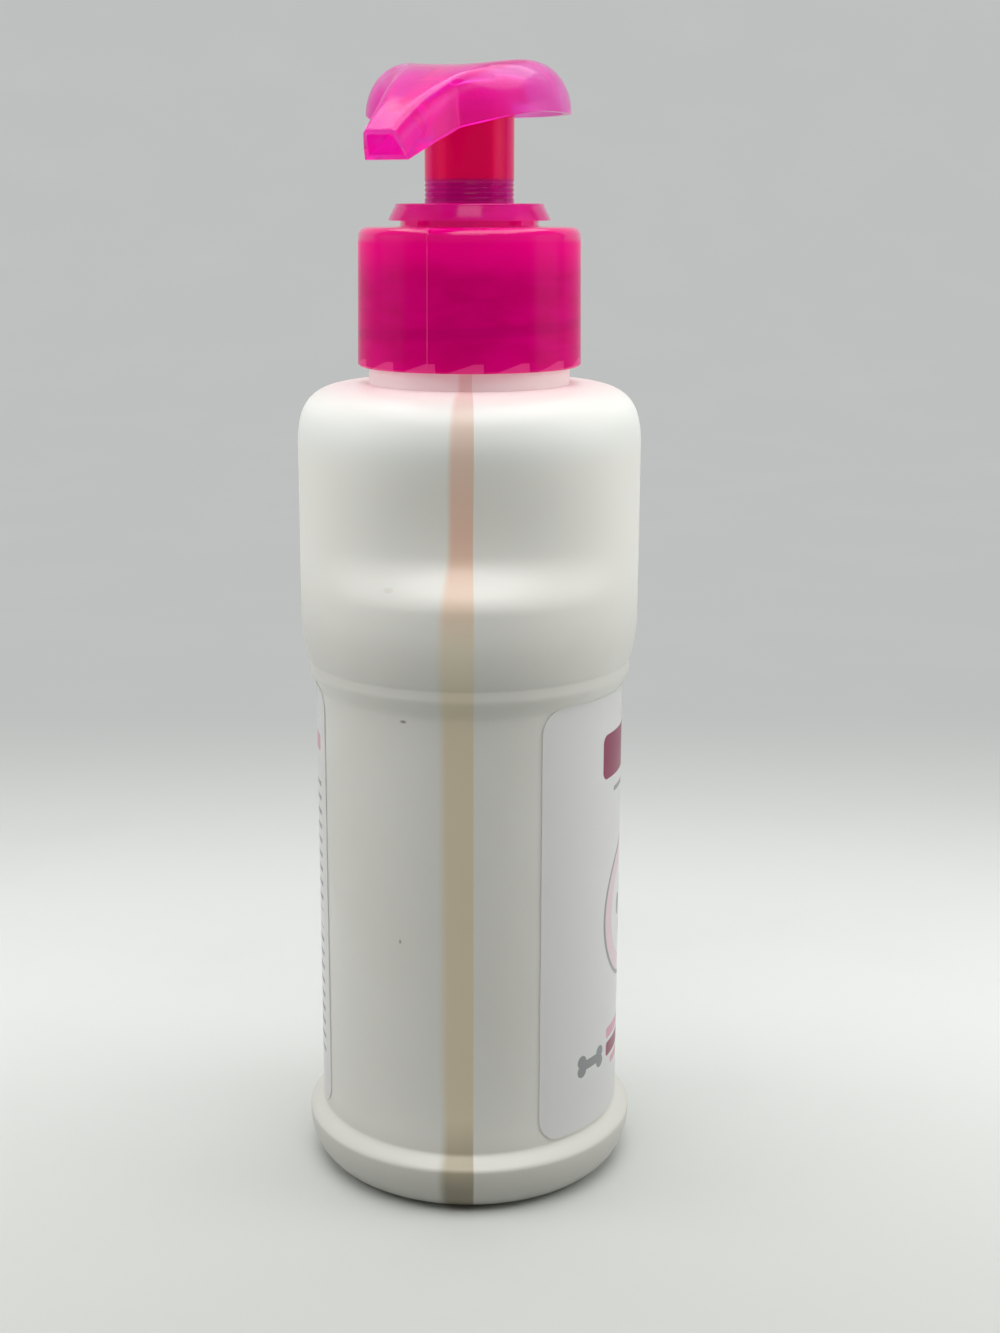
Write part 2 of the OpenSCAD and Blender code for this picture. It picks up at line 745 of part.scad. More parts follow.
// Cylinder of radius r on the duct from its bend, carried past the mouth by over
module along_duct(r, over) {
    translate([duct_bend[0], 0, duct_bend[1]])
        rotate([0, 90 + duct_fall, 0])
            cylinder(r = r, h = norm(duct_run) + over);
}

// Wall of the duct across the hollow, cut level where it comes down over the guide collar
module duct_tube() {
    difference() {
        along_duct(duct_d / 2 + duct_wall, 0);
        translate([0, 0, chaplet_top_z]) cylinder(r = chaplet_r + guide_gap, h = stroke + head_clear / 2);
    }
}

// Tapered mouth at the tip, on the line of the duct
module nozzle_mouth() {
    half_h = tip_h / 2 - tip_wall;
    top_w = tip_top_w / 2 - tip_wall;
    low_w = tip_low_w / 2 - 1.45 * tip_wall;
    translate([duct_end[0], 0, duct_end[1]])
        rotate([0, duct_fall, 0])
            rotate([90, 0, 90])
                linear_extrude(height = 2 * mouth_depth, center = true)
                    polygon([[-low_w, -half_h], [low_w, -half_h], [top_w, half_h], [-top_w, half_h]]);
}

module actuator() {
    root = edge_break;
    sleeve_h = boss_z - sleeve_z;
    color("hotpink")
        rotate([0, 0, nozzle_angle])
            difference() {
                union() {
                    difference() {
                        head_outer();
                        difference() {
                            head_hollow();
                            translate([0, 0, boss_z]) cylinder(r = boss_d / 2, h = head_h);
                            duct_tube();
                        }
                    }
                    translate([0, 0, sleeve_z]) cylinder(r = sleeve_r, h = sleeve_h + root);
                }
                difference() {
                    translate([0, 0, sleeve_z - 1]) cylinder(r = sleeve_in_r, h = sleeve_h - root);
                    translate([0, 0, socket_low_z]) cylinder(r = socket_out_r, h = boss_z - socket_low_z);
                }
                translate([0, 0, sleeve_z]) cylinder(r = socket_r, h = sleeve_h);
                translate([0, 0, sleeve_z]) cylinder(r = duct_d / 2, h = duct_bend[1] - sleeve_z + root);
                translate([0, 0, duct_bend[1]])
                    rotate([0, 90, 0])
                        cylinder(r = 0.57 * duct_d, h = duct_bend[0] + root);
                along_duct(duct_d / 2, 2);
                nozzle_mouth();
            }
}

module stem() {
    color("whitesmoke")
        rotate_extrude()
            polygon([
                [stem_bore_r, stem_z], [stem_r, stem_z], [stem_r, piston_top_z + seal_gap],
                [stem_shoulder_r, piston_top_z + seal_gap], [stem_shoulder_r, stem_stop_z],
                [stem_r, stem_stop_z], [stem_r, stem_top_z], [outlet_room_r, stem_top_z],
                [outlet_room_r, outlet_seat_z + outlet_room_r - outlet_seat_r],
                [outlet_seat_r, outlet_seat_z], [outlet_seat_r, outlet_seat_z - outlet_seat_h],
                [stem_bore_r, outlet_seat_z - 1.6 * outlet_seat_h]
            ]);
}

module stem_plug() {
    shank_r = stem_bore_r - seal_gap;
    shank_z = plug_z + plug_flange_t;
    guide_r = spring_r - spring_wire_d / 2 - guide_gap;
    color("whitesmoke")
        rotate_extrude()
            polygon([
                [plug_bore_r, plug_z - plug_guide_h], [guide_r, plug_z - plug_guide_h], [guide_r, plug_z],
                [plug_flange_r, plug_z], [plug_flange_r, shank_z], [shank_r, shank_z],
                [shank_r, shank_z + plug_shank_h], [plug_bore_r, shank_z + plug_shank_h]
            ]);
}

module piston() {
    lip = cylinder_r - seal_gap;
    waist = lip - 1;
    low_in = stem_r + seal_gap;
    color("gainsboro")
        rotate_extrude()
            polygon([
                [low_in, piston_z], [lip - 0.5, piston_z], [lip, piston_z + 0.4], [lip, piston_z + 1],
                [waist, piston_z + 1.8], [waist, piston_top_z - 1.8], [lip, piston_top_z - 1],
                [lip, piston_top_z - 0.4], [lip - 0.5, piston_top_z], [low_in, piston_top_z]
            ]);
}

module spring() {
    steps_per_turn = 14;
    sides = 8;
    steps = spring_turns * steps_per_turn;
    wire_r = spring_wire_d / 2;
    low = cylinder_floor_z + wire_r;
    high = plug_z - wire_r;
    close_rise = 1.15 * spring_wire_d;
    open_rise = high - low - 2 * close_rise;
    rings = [
        for (i = [0:steps])
            let (
                turn = i / steps_per_turn,
                ang = 360 * turn,
                z = low + close_rise * (clamp01(turn) + clamp01(turn - spring_turns + 1))
                    + open_rise * clamp01((turn - 1) / (spring_turns - 2))
            )
                [
                    for (j = [sides - 1:-1:0])
                        let (p = on_ellipse([spring_r, z], wire_r, wire_r, 360 * j / sides))
                            [p[0] * cos(ang), p[0] * sin(ang), p[1]]
                ]
    ];
    color("silver") loft(rings);
}

module inlet_ball() {
    color("silver") translate([0, 0, inlet_ball_z]) sphere(r = ball_r);
}

module outlet_ball() {
    color("silver") translate([0, 0, outlet_ball_z]) sphere(r = ball_r);
}

module dip_tube() {
    end_z = floor_z + dip_clear;
    cut = 4 * dip_tube_d;
    color("whitesmoke")
        difference() {
            translate([0, 0, end_z]) cylinder(r = tube_r, h = socket_top_z - end_z - seal_gap);
            translate([0, 0, end_z - 1]) cylinder(r = tube_r - dip_tube_wall, h = socket_top_z - end_z + 2);
            translate([0, 0, end_z]) rotate([0, -30, 0]) translate([0, 0, -cut / 2]) cube(cut, center = true);
        }
}

bottle();
front_label();
back_label();
closure();
gasket();
housing();
chaplet();
actuator();
stem();
stem_plug();
piston();
spring();
inlet_ball();
outlet_ball();
dip_tube();
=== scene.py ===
"""Looks of a pump dispenser bottle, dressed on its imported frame.

Sizes are in millimetres in the classes and become metres when a mesh is made.
The front label faces -Y, the scooped grips lie on -X and +X, and +Z is up.
"""
import functools
import logging
import math
from dataclasses import dataclass, field
from enum import Enum
from typing import Any, Dict, List, Optional, Sequence, Tuple, Union

import bpy
import numpy as np
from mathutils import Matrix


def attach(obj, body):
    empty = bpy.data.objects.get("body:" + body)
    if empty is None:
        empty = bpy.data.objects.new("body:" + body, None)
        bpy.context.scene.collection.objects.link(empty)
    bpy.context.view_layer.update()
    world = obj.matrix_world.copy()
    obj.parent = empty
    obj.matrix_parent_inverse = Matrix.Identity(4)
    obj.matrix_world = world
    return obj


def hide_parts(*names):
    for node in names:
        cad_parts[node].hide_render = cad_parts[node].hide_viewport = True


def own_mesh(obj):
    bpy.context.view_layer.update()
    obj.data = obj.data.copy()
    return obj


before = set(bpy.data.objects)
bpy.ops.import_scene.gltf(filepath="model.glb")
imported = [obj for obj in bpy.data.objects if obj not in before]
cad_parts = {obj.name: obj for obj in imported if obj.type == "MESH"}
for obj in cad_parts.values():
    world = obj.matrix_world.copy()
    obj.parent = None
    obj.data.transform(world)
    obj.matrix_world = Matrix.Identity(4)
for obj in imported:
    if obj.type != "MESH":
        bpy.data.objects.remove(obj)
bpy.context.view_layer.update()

LOG = logging.getLogger("pump_bottle")
MM = 0.001
CREASE = "crease"
Colour = Tuple[float, float, float]


class LabelSide(Enum):
    """Side of the bottle that a label faces, as its angle round the axis in degrees."""

    FRONT = 270.0
    BACK = 90.0


class Body(Enum):
    """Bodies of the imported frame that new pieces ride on."""

    BOTTLE = "bottle"
    PUMP = "pump"
    CLOSURE = "closure"
    HEAD = "head"


def linear(red: int, green: int, blue: int) -> Colour:
    """Linear colour of a screen colour.

    Args:
        red, green, blue: screen values from 0 to 255.

    Returns:
        The three linear values.
    """
    shares = np.array([red, green, blue]) / 255.0
    low = shares / 12.92
    high = ((shares + 0.055) / 1.055) ** 2.4
    return tuple(float(v) for v in np.where(shares <= 0.04045, low, high))


def ease(t: np.ndarray) -> np.ndarray:
    """Cubic step: 0 below 0, 1 above 1, and 3t^2 - 2t^3 between."""
    c = np.clip(t, 0.0, 1.0)
    return c * c * (3.0 - 2.0 * c)


def soft_ramp(x: np.ndarray, width: float) -> np.ndarray:
    """Ramp that leaves zero on a parabola of half-width `width` and then rises as x."""
    bend = (np.clip(x, -width, width) + width) ** 2 / (4.0 * width)
    return np.where(x >= width, x, bend)


def soft_most(a: np.ndarray, b: np.ndarray, k: np.ndarray) -> np.ndarray:
    """Larger of a and b, rounded where they cross: (a + b + sqrt((a - b)^2 + k^2)) / 2."""
    return (a + b + np.sqrt((a - b) ** 2 + k * k)) / 2.0


def line(start: Sequence[float], end: Sequence[float], steps: int) -> np.ndarray:
    """Straight run of steps + 1 points from start to end."""
    t = np.linspace(0.0, 1.0, steps + 1)[:, None]
    return np.asarray(start, float) * (1.0 - t) + np.asarray(end, float) * t


def arc(centre: Sequence[float], half_axes: Sequence[float], first: float, last: float,
        steps: int) -> np.ndarray:
    """Arc of an ellipse: centre + (a cos t, b sin t) for t from first to last.

    Args:
        centre: middle of the ellipse, as radius and height.
        half_axes: the two half-axes a and b.
        first, last: end angles in degrees.
        steps: number of steps along the arc.

    Returns:
        Array of steps + 1 points.
    """
    t = np.radians(np.linspace(first, last, steps + 1))
    return np.stack([centre[0] + half_axes[0] * np.cos(t), centre[1] + half_axes[1] * np.sin(t)], axis=1)


def s_curve(start: Sequence[float], end: Sequence[float], steps: int) -> np.ndarray:
    """Run whose height is even and whose radius follows (1 - cos) / 2, so that it is upright at both ends."""
    t = np.linspace(0.0, 1.0, steps + 1)
    share = (1.0 - np.cos(math.pi * t)) / 2.0
    return np.stack([start[0] + (end[0] - start[0]) * share, start[1] + (end[1] - start[1]) * t], axis=1)


def chain(*runs: np.ndarray) -> np.ndarray:
    """Runs of points joined end to end, with repeated points left out."""
    points = np.concatenate([np.atleast_2d(run) for run in runs])
    fresh = np.ones(len(points), bool)
    fresh[1:] = np.linalg.norm(np.diff(points, axis=0), axis=1) > 1e-6
    return points[fresh]


def spun(radius: np.ndarray, height: np.ndarray, angle: np.ndarray) -> np.ndarray:
    """Points (r cos a, r sin a, z) of a surface round the axis.

    Args:
        radius: radius on the grid of rows and columns.
        height: height on the grid, or one per row.
        angle: angle of each column in radians.

    Returns:
        Array of rows by columns by 3.
    """
    radius, height, angle = np.broadcast_arrays(radius, height, angle)
    return np.stack([radius * np.cos(angle), radius * np.sin(angle), height], axis=-1)


def revolved(profile: np.ndarray, columns: int) -> np.ndarray:
    """Grid of a profile of radius and height turned round the axis."""
    angle = np.linspace(0.0, 2.0 * math.pi, columns, endpoint=False)[None, :]
    return spun(profile[:, :1], profile[:, 1:], angle)


def helix_height(angle: np.ndarray, height: np.ndarray, start: float, pitch: float, turns: float,
                 root_half: float, crest_half: float) -> np.ndarray:
    """Share of a thread ridge's height over the wall at each angle and height.

    The ridge's middle climbs as start + pitch * angle / 360 degrees. Across it the share falls from 1
    at crest_half to 0 at root_half, and it fades to 0 over a sixth of a turn at both ends.

    Args:
        angle: angle of the columns in radians, from 0 to a full turn.
        height: height of the rows.
        start: height of the ridge's middle at angle 0.
        pitch: climb in a full turn.
        turns: length of the ridge in turns.
        root_half, crest_half: half-widths of the ridge at its root and crest.

    Returns:
        Array of shares from 0 to 1.
    """
    share = np.zeros(np.broadcast(angle, height).shape)
    for lap in range(int(math.ceil(turns))):
        turn = angle / (2.0 * math.pi) + lap
        across = np.abs(height - (start + pitch * turn))
        ridge = np.clip((root_half - across) / (root_half - crest_half), 0.0, 1.0)
        ends = np.clip(np.minimum(turn, turns - turn) * 6.0, 0.0, 1.0)
        share = np.maximum(share, ridge * ends)
    return share


class Skin:
    """Collects grid patches and makes one mesh object of them."""

    def __init__(self) -> None:
        """Starts with no points and no faces."""
        self.points: List[np.ndarray] = []
        self.corners: List[np.ndarray] = []
        self.counts: List[np.ndarray] = []
        self.size = 0

    def grid(self, points: np.ndarray, ring: bool = True, loop: bool = False, caps: bool = False) -> "Skin":
        """Adds a grid of points as quads that face the side of columns x rows.

        Args:
            points: rows by columns by 3, in millimetres.
            ring: the last column joins the first.
            loop: the last row joins the first.
            caps: the first and last rows are closed by a face each.

        Returns:
            This skin, so that patches can be chained.
        """
        rows, cols = points.shape[:2]
        row, col = np.meshgrid(np.arange(rows if loop else rows - 1), np.arange(cols if ring else cols - 1),
                               indexing="ij")
        next_row, next_col = (row + 1) % rows, (col + 1) % cols
        quads = np.stack([row * cols + col, row * cols + next_col, next_row * cols + next_col,
                          next_row * cols + col], axis=-1).reshape(-1, 4)
        self._faces(quads)
        if caps:
            self._faces(np.arange(cols)[::-1][None, :])
            self._faces((rows - 1) * cols + np.arange(cols)[None, :])
        self.points.append(points.reshape(-1, 3))
        self.size += rows * cols
        return self

    def _faces(self, faces: np.ndarray) -> None:
        """Keeps faces of equal corner count, counted from this patch's first point."""
        self.corners.append((faces + self.size).ravel())
        self.counts.append(np.full(len(faces), faces.shape[1]))

    def build(self, name: str, sharp: float = 32.0, crease: Optional[np.ndarray] = None) -> bpy.types.Object:
        """Makes the mesh object, smooth except along edges sharper than an angle.

        Args:
            name: name of the object and its mesh.
            sharp: angle in degrees above which an edge stays hard.
            crease: share from 0 to 1 of the first points, kept as an attribute for the shader.

        Returns:
            The new object at the origin.
        """
        points = np.concatenate(self.points) * MM
        corners = np.concatenate(self.corners)
        counts = np.concatenate(self.counts)
        mesh = bpy.data.meshes.new(name)
        mesh.vertices.add(len(points))
        mesh.vertices.foreach_set("co", points.astype(np.float32).ravel())
        mesh.loops.add(len(corners))
        mesh.loops.foreach_set("vertex_index", corners.astype(np.int32))
        mesh.polygons.add(len(counts))
        mesh.polygons.foreach_set("loop_start", (np.cumsum(counts) - counts).astype(np.int32))
        mesh.polygons.foreach_set("loop_total", counts.astype(np.int32))
        mesh.polygons.foreach_set("use_smooth", np.ones(len(counts), bool))
        mesh.update(calc_edges=True)
        mesh.validate()
        mesh.set_sharp_from_angle(angle=math.radians(sharp))
        if crease is not None:
            share = np.zeros(len(points), np.float32)
            share[:crease.size] = crease.ravel()
            mesh.attributes.new(CREASE, "FLOAT", "POINT").data.foreach_set("value", share)
        made = bpy.data.objects.new(name, mesh)
        bpy.context.scene.collection.objects.link(made)
        return made


class Wire:
    """Output socket of a node that takes part in Python arithmetic."""

    def __init__(self, shader: "Shader", socket: bpy.types.NodeSocket) -> None:
        """Wraps a socket of a shader's node."""
        self.shader = shader
        self.socket = socket

    def _math(self, operation: str, *terms: "Term") -> "Wire":
        """Adds a Math node on the terms."""
        return self.shader.add("ShaderNodeMath", {"operation": operation}, dict(enumerate(terms)))

    def __add__(self, other: "Term") -> "Wire":
        """Sum."""
        return self._math("ADD", self, other)

    __radd__ = __add__

    def __sub__(self, other: "Term") -> "Wire":
        """Difference."""
        return self._math("SUBTRACT", self, other)

    def __rsub__(self, other: "Term") -> "Wire":
        """Difference from a plain number."""
        return self._math("SUBTRACT", other, self)

    def __mul__(self, other: "Term") -> "Wire":
        """Product."""
        return self._math("MULTIPLY", self, other)

    __rmul__ = __mul__

    def __truediv__(self, other: "Term") -> "Wire":
        """Quotient."""
        return self._math("DIVIDE", self, other)

    def __abs__(self) -> "Wire":
        """Size without sign."""
        return self._math("ABSOLUTE", self)

    def least(self, other: "Term") -> "Wire":
        """Smaller of the two."""
        return self._math("MINIMUM", self, other)

    def most(self, other: "Term") -> "Wire":
        """Larger of the two."""
        return self._math("MAXIMUM", self, other)

    def root(self) -> "Wire":
        """Square root."""
        return self._math("SQRT", self)

    def wrap(self, span: float) -> "Wire":
        """Remainder within -span / 2 to span / 2."""
        return self._math("WRAP", self, span / 2.0, -span / 2.0)

    def rise(self, low: float, high: float) -> "Wire":
        """Smooth step from 0 at low to 1 at high."""
        settings = {"interpolation_type": "SMOOTHSTEP"}
        sockets = {"Value": self, "From Min": low, "From Max": high}
        return self.shader.add("ShaderNodeMapRange", settings, sockets)

    def inside(self, border: float = 0.06) -> "Wire":
        """1 where a distance in millimetres is below zero, with a soft border."""
        return 1.0 - self.rise(-border, border)


Term = Union[Wire, float, int]


def union(masks: Sequence[Wire]) -> Wire:
    """Largest of several masks."""
    return functools.reduce(Wire.most, masks)


class Shader:
    """Node tree of one material."""

    def __init__(self, name: str) -> None:
        """Makes an empty node material."""
        self.material = bpy.data.materials.new(name)
        self.material.use_nodes = True
        self.tree = self.material.node_tree
        self.tree.nodes.clear()

    def add(self, kind: str, settings: Optional[Dict[str, Any]] = None,
            sockets: Optional[Dict[Any, Any]] = None, output: Union[int, str] = 0) -> Wire:
        """Adds a node.

        Args:
            kind: Blender's type of the node.
            settings: properties of the node, set first; "stops" fills a colour ramp.
            sockets: value or wire of each input, by name or number.
            output: name or number of the output that is returned.

        Returns:
            The wire of that output.
        """
        node = self.tree.nodes.new(kind)
        for key, value in (settings or {}).items():
            if key == "stops":
                for stop, (place, colour) in zip(self._stops(node, len(value)), value):
                    stop.position, stop.color = place, (*colour, 1.0)
            else:
                setattr(node, key, value)
        for key, value in (sockets or {}).items():
            if isinstance(value, Wire):
                self.tree.links.new(value.socket, node.inputs[key])
            else:
                node.inputs[key].default_value = value
        return Wire(self, node.outputs[output])

    @staticmethod
    def _stops(node: bpy.types.Node, count: int) -> Sequence[Any]:
        """Elements of a colour ramp, as many as are needed."""
        elements = node.color_ramp.elements
        while len(elements) < count:
            elements.new(1.0)
        return elements

    def place(self) -> Wire:
        """Place on the piece in metres."""
        return self.add("ShaderNodeTexCoord", output="Object")

    def axes(self) -> Tuple[Wire, Wire, Wire]:
        """The three coordinates of the place, in millimetres."""
        sockets = {0: self.place(), "Scale": 1.0 / MM}
        scaled = self.add("ShaderNodeVectorMath", {"operation": "SCALE"}, sockets)
        parts = [self.add("ShaderNodeSeparateXYZ", None, {0: scaled}, axis) for axis in "XYZ"]
        return parts[0], parts[1], parts[2]

    def turn(self, x: Wire, y: Wire, middle: float) -> Wire:
        """Angle round the axis in degrees, counted from a middle angle, from -180 to 180."""
        c, s = math.cos(math.radians(middle)), math.sin(math.radians(middle))
        angle = self.add("ShaderNodeMath", {"operation": "ARCTAN2"}, {0: y * c - x * s, 1: x * c + y * s})
        return angle * math.degrees(1.0)

    def noise(self, scale: float, detail: float = 3.0, stretch: Colour = (1.0, 1.0, 1.0)) -> Wire:
        """Even noise from 0 to 1, at a scale per metre."""
        vector = self.add("ShaderNodeMapping", None, {"Vector": self.place(), "Scale": stretch})
        return self.add("ShaderNodeTexNoise", None, {"Vector": vector, "Scale": scale, "Detail": detail})

    def mix(self, factor: Term, first: Any, second: Any) -> Wire:
        """Colour between two colours."""
        colours = [c if isinstance(c, Wire) else (*c, 1.0) for c in (first, second)]
        return self.add("ShaderNodeMix", {"data_type": "RGBA"}, {0: factor, 6: colours[0], 7: colours[1]}, 2)

    def bump(self, height: Wire, distance: float, strength: float = 1.0) -> Wire:
        """Normal of a fine relief whose height 1 is a distance in millimetres."""
        sockets = {"Height": height, "Distance": distance * MM, "Strength": strength}
        return self.add("ShaderNodeBump", None, sockets)

    def finish(self, sockets: Dict[str, Any]) -> bpy.types.Material:
        """Ends the tree in a Principled shader.

        Args:
            sockets: value or wire of each input of the shader.

        Returns:
            The material.
        """
        shader = self.add("ShaderNodeBsdfPrincipled", None, sockets)
        self.add_output(shader)
        return self.material

    def add_output(self, shader: Wire) -> None:
        """Links a shader to the material's output."""
        end = self.tree.nodes.new("ShaderNodeOutputMaterial")
        self.tree.links.new(shader.socket, end.inputs["Surface"])


@dataclass(frozen=True)
class BlownPlastic:
    """White blown polyethylene, greyed at the base by painted shade, with a see-through level stripe on the
    -X side.

    The stripe runs through foot, tan, pale, peach and ash from the base up; its dark foot is painted shade at
    the
    base. The glows are painted light: those of the wall, of the shoulder and of the stripe, and the closure's
    pink light painted on the neck's foot.
    """

    white: Colour = linear(247, 246, 239)
    cool: Colour = linear(240, 239, 231)
    # painted shade: the grey that the wall takes at the base
    base: Colour = linear(226, 225, 217)
    # painted shade: the stripe's dark foot at the base
    foot: Colour = linear(160, 152, 130)
    tan: Colour = linear(240, 225, 193)
    pale: Colour = linear(246, 236, 212)
    peach: Colour = linear(242, 202, 184)
    ash: Colour = linear(232, 213, 201)
    speck: Colour = linear(120, 112, 100)
    # emission colours, all painted light: the glow of the wall and the shoulder, of the stripe, and the
    # closure's pink light on the neck's foot
    through: Colour = (0.11, 0.11, 0.105)
    through_top: Colour = (0.112, 0.128, 0.132)
    peach_glow: Colour = (0.12, 0.075, 0.05)
    blush: Colour = (0.13, 0.05, 0.075)
    panel_r: float = 24.2
    base_z: float = 9.5
    bead_z: float = 84.0
    fill_z: float = 94.0
    shoulder_z: float = 118.5
    neck_z: float = 126.6
    collar_z: float = 131.2
    stripe_h: float = 130.0
    stripe_right: float = 181.4
    stripe_panel: float = 12.4
    stripe_top: float = 8.0
    stripe_top_z: float = 128.0

    def material(self) -> bpy.types.Material:
        """Builds the material: white with faint clouds, the stripe, a few specks and a scuff.

        Above the fill height the wall is lit from within, and the neck's foot by the closure; both are
        painted as a faint glow. The base is greyed by painted shade.

        Returns:
            The material.
        """
        s = Shader("bottle_white")
        x, y, z = s.axes()
        clouds = s.noise(38.0, 4.0).rise(0.35, 0.7)
        wall = s.mix(clouds * 0.6, self.white, self.cool)
        # painted shade greys the wall towards the base
        white = s.mix(z.rise(self.base_z - 3.5, self.base_z + 3.5), self.base, wall)
        from_right = s.turn(x, y, self.stripe_right) * -1.0
        narrowing = self.stripe_panel - self.stripe_top
        width = self.stripe_panel - z.rise(self.bead_z, self.stripe_top_z) * narrowing
        across = from_right / width
        waver = (s.noise(90.0, 2.0, (1.0, 1.0, 0.3)) - 0.5) * 0.16
        stripe = across.rise(-0.03, 0.03) * (1.0 - (across + waver).rise(0.72, 1.06))
        level = (z + waver * 30.0) / self.stripe_h
        # the first stop, the stripe's dark foot, is painted shade at the base
        stops = [(0.04, self.foot), (0.12, self.tan), (0.58, self.tan), (0.7, self.pale), (0.82, self.peach),
                 (0.94, self.ash)]
        tint = s.add("ShaderNodeValToRGB", {"stops": stops}, {0: level})
        colour = s.mix(stripe * 0.95, white, tint)
        colour = s.mix(self._specks(s, x, y, z), colour, self.speck)
        rough = 0.34 + clouds * 0.08 - stripe * 0.05
        grain = s.noise(900.0, 2.0) * 0.6 + s.noise(120.0, 3.0)
        relief = s.bump(grain, 0.03, 0.35)
        # painted glow of the wall above the fill height
        below_neck = 1.0 - z.rise(self.neck_z - 2.6, self.neck_z + 0.4)
        lit = z.rise(self.fill_z - 7.0, self.fill_z + 7.0) * below_neck
        through = s.mix(z.rise(self.shoulder_z - 2.5, self.shoulder_z + 2.5), self.through, self.through_top)
        glow = s.mix(lit, (0.0, 0.0, 0.0), s.mix(stripe, through, self.peach_glow))
        below_collar = 1.0 - z.rise(self.collar_z - 1.2, self.collar_z + 1.3)
        # painted pink light from the closure on the neck's foot
        glow = s.mix(z.rise(self.neck_z - 1.0, self.neck_z + 1.0) * below_collar, glow, self.blush)
        return s.finish({"Base Color": colour, "Roughness": rough, "IOR": 1.5, "Normal": relief,
                         "Emission Color": glow, "Emission Strength": 1.0})

    def _specks(self, s: Shader, x: Wire, y: Wire, z: Wire) -> Wire:
        """Mask of two grains and a scuff: ellipses of angle, height, half-width, half-height and depth."""
        spots: List[Wire] = []
        for angle, height, half_width, half_height, deep in (
                (156.0, 79.0, 0.45, 0.22, 0.7), (154.0, 44.0, 0.18, 0.3, 0.6), (152.5, 99.0, 0.8, 0.4, 0.16)):
            across = s.turn(x, y, angle) * (self.panel_r * math.pi / 180.0) / half_width
            along = (z - height) / half_height
            spots.append(((across * across + along * along).root() - 1.0).inside(0.5) * deep)
        return union(spots)


@dataclass(frozen=True)
class ClearTint:
    """Translucent tinted polypropylene with a faint painted glow and fine flow marks.

    It has a glossy coat above gloss_z, whose default is far above any piece.
    """

    name: str
    deep: Colour
    light: Colour
    # colour of a painted glow
    glow: Colour
    clear: float
    rough: float
    ior: float = 1.4
    gloss_z: float = 1000.0
    flow: float = 160.0

    def tone(self, s: Shader) -> Tuple[Any, Any]:
        """Tint and glow of the plastic: the tint wanders between two tones.

        Args:
            s: shader that takes the nodes.

        Returns:
            Base colour and emission colour.
        """
        flow = s.noise(self.flow, 3.0, (1.0, 1.0, 2.6)).rise(0.3, 0.7)
        dimmer = tuple(0.7 * v for v in self.glow)
        return s.mix(flow, self.deep, self.light), s.mix(flow * 0.4, self.glow, dimmer)

    def material(self) -> bpy.types.Material:
        """Builds the material, with polish that varies a little and a gloss above one height.

        Returns:
            The material.
        """
        s = Shader(self.name)
        colour, glow = self.tone(s)
        gloss = s.axes()[2].rise(self.gloss_z - 0.6, self.gloss_z + 0.6)
        rough = self.rough + s.noise(420.0, 3.0) * 0.08
        relief = s.bump(s.noise(240.0, 2.0), 0.02, 0.12)
        return s.finish({"Base Color": colour, "Roughness": rough, "IOR": self.ior, "Normal": relief,
                         "Specular IOR Level": 0.1, "Transmission Weight": self.clear,
                         "Coat Weight": gloss, "Coat Roughness": 0.14,
                         "Emission Color": glow, "Emission Strength": 1.0})


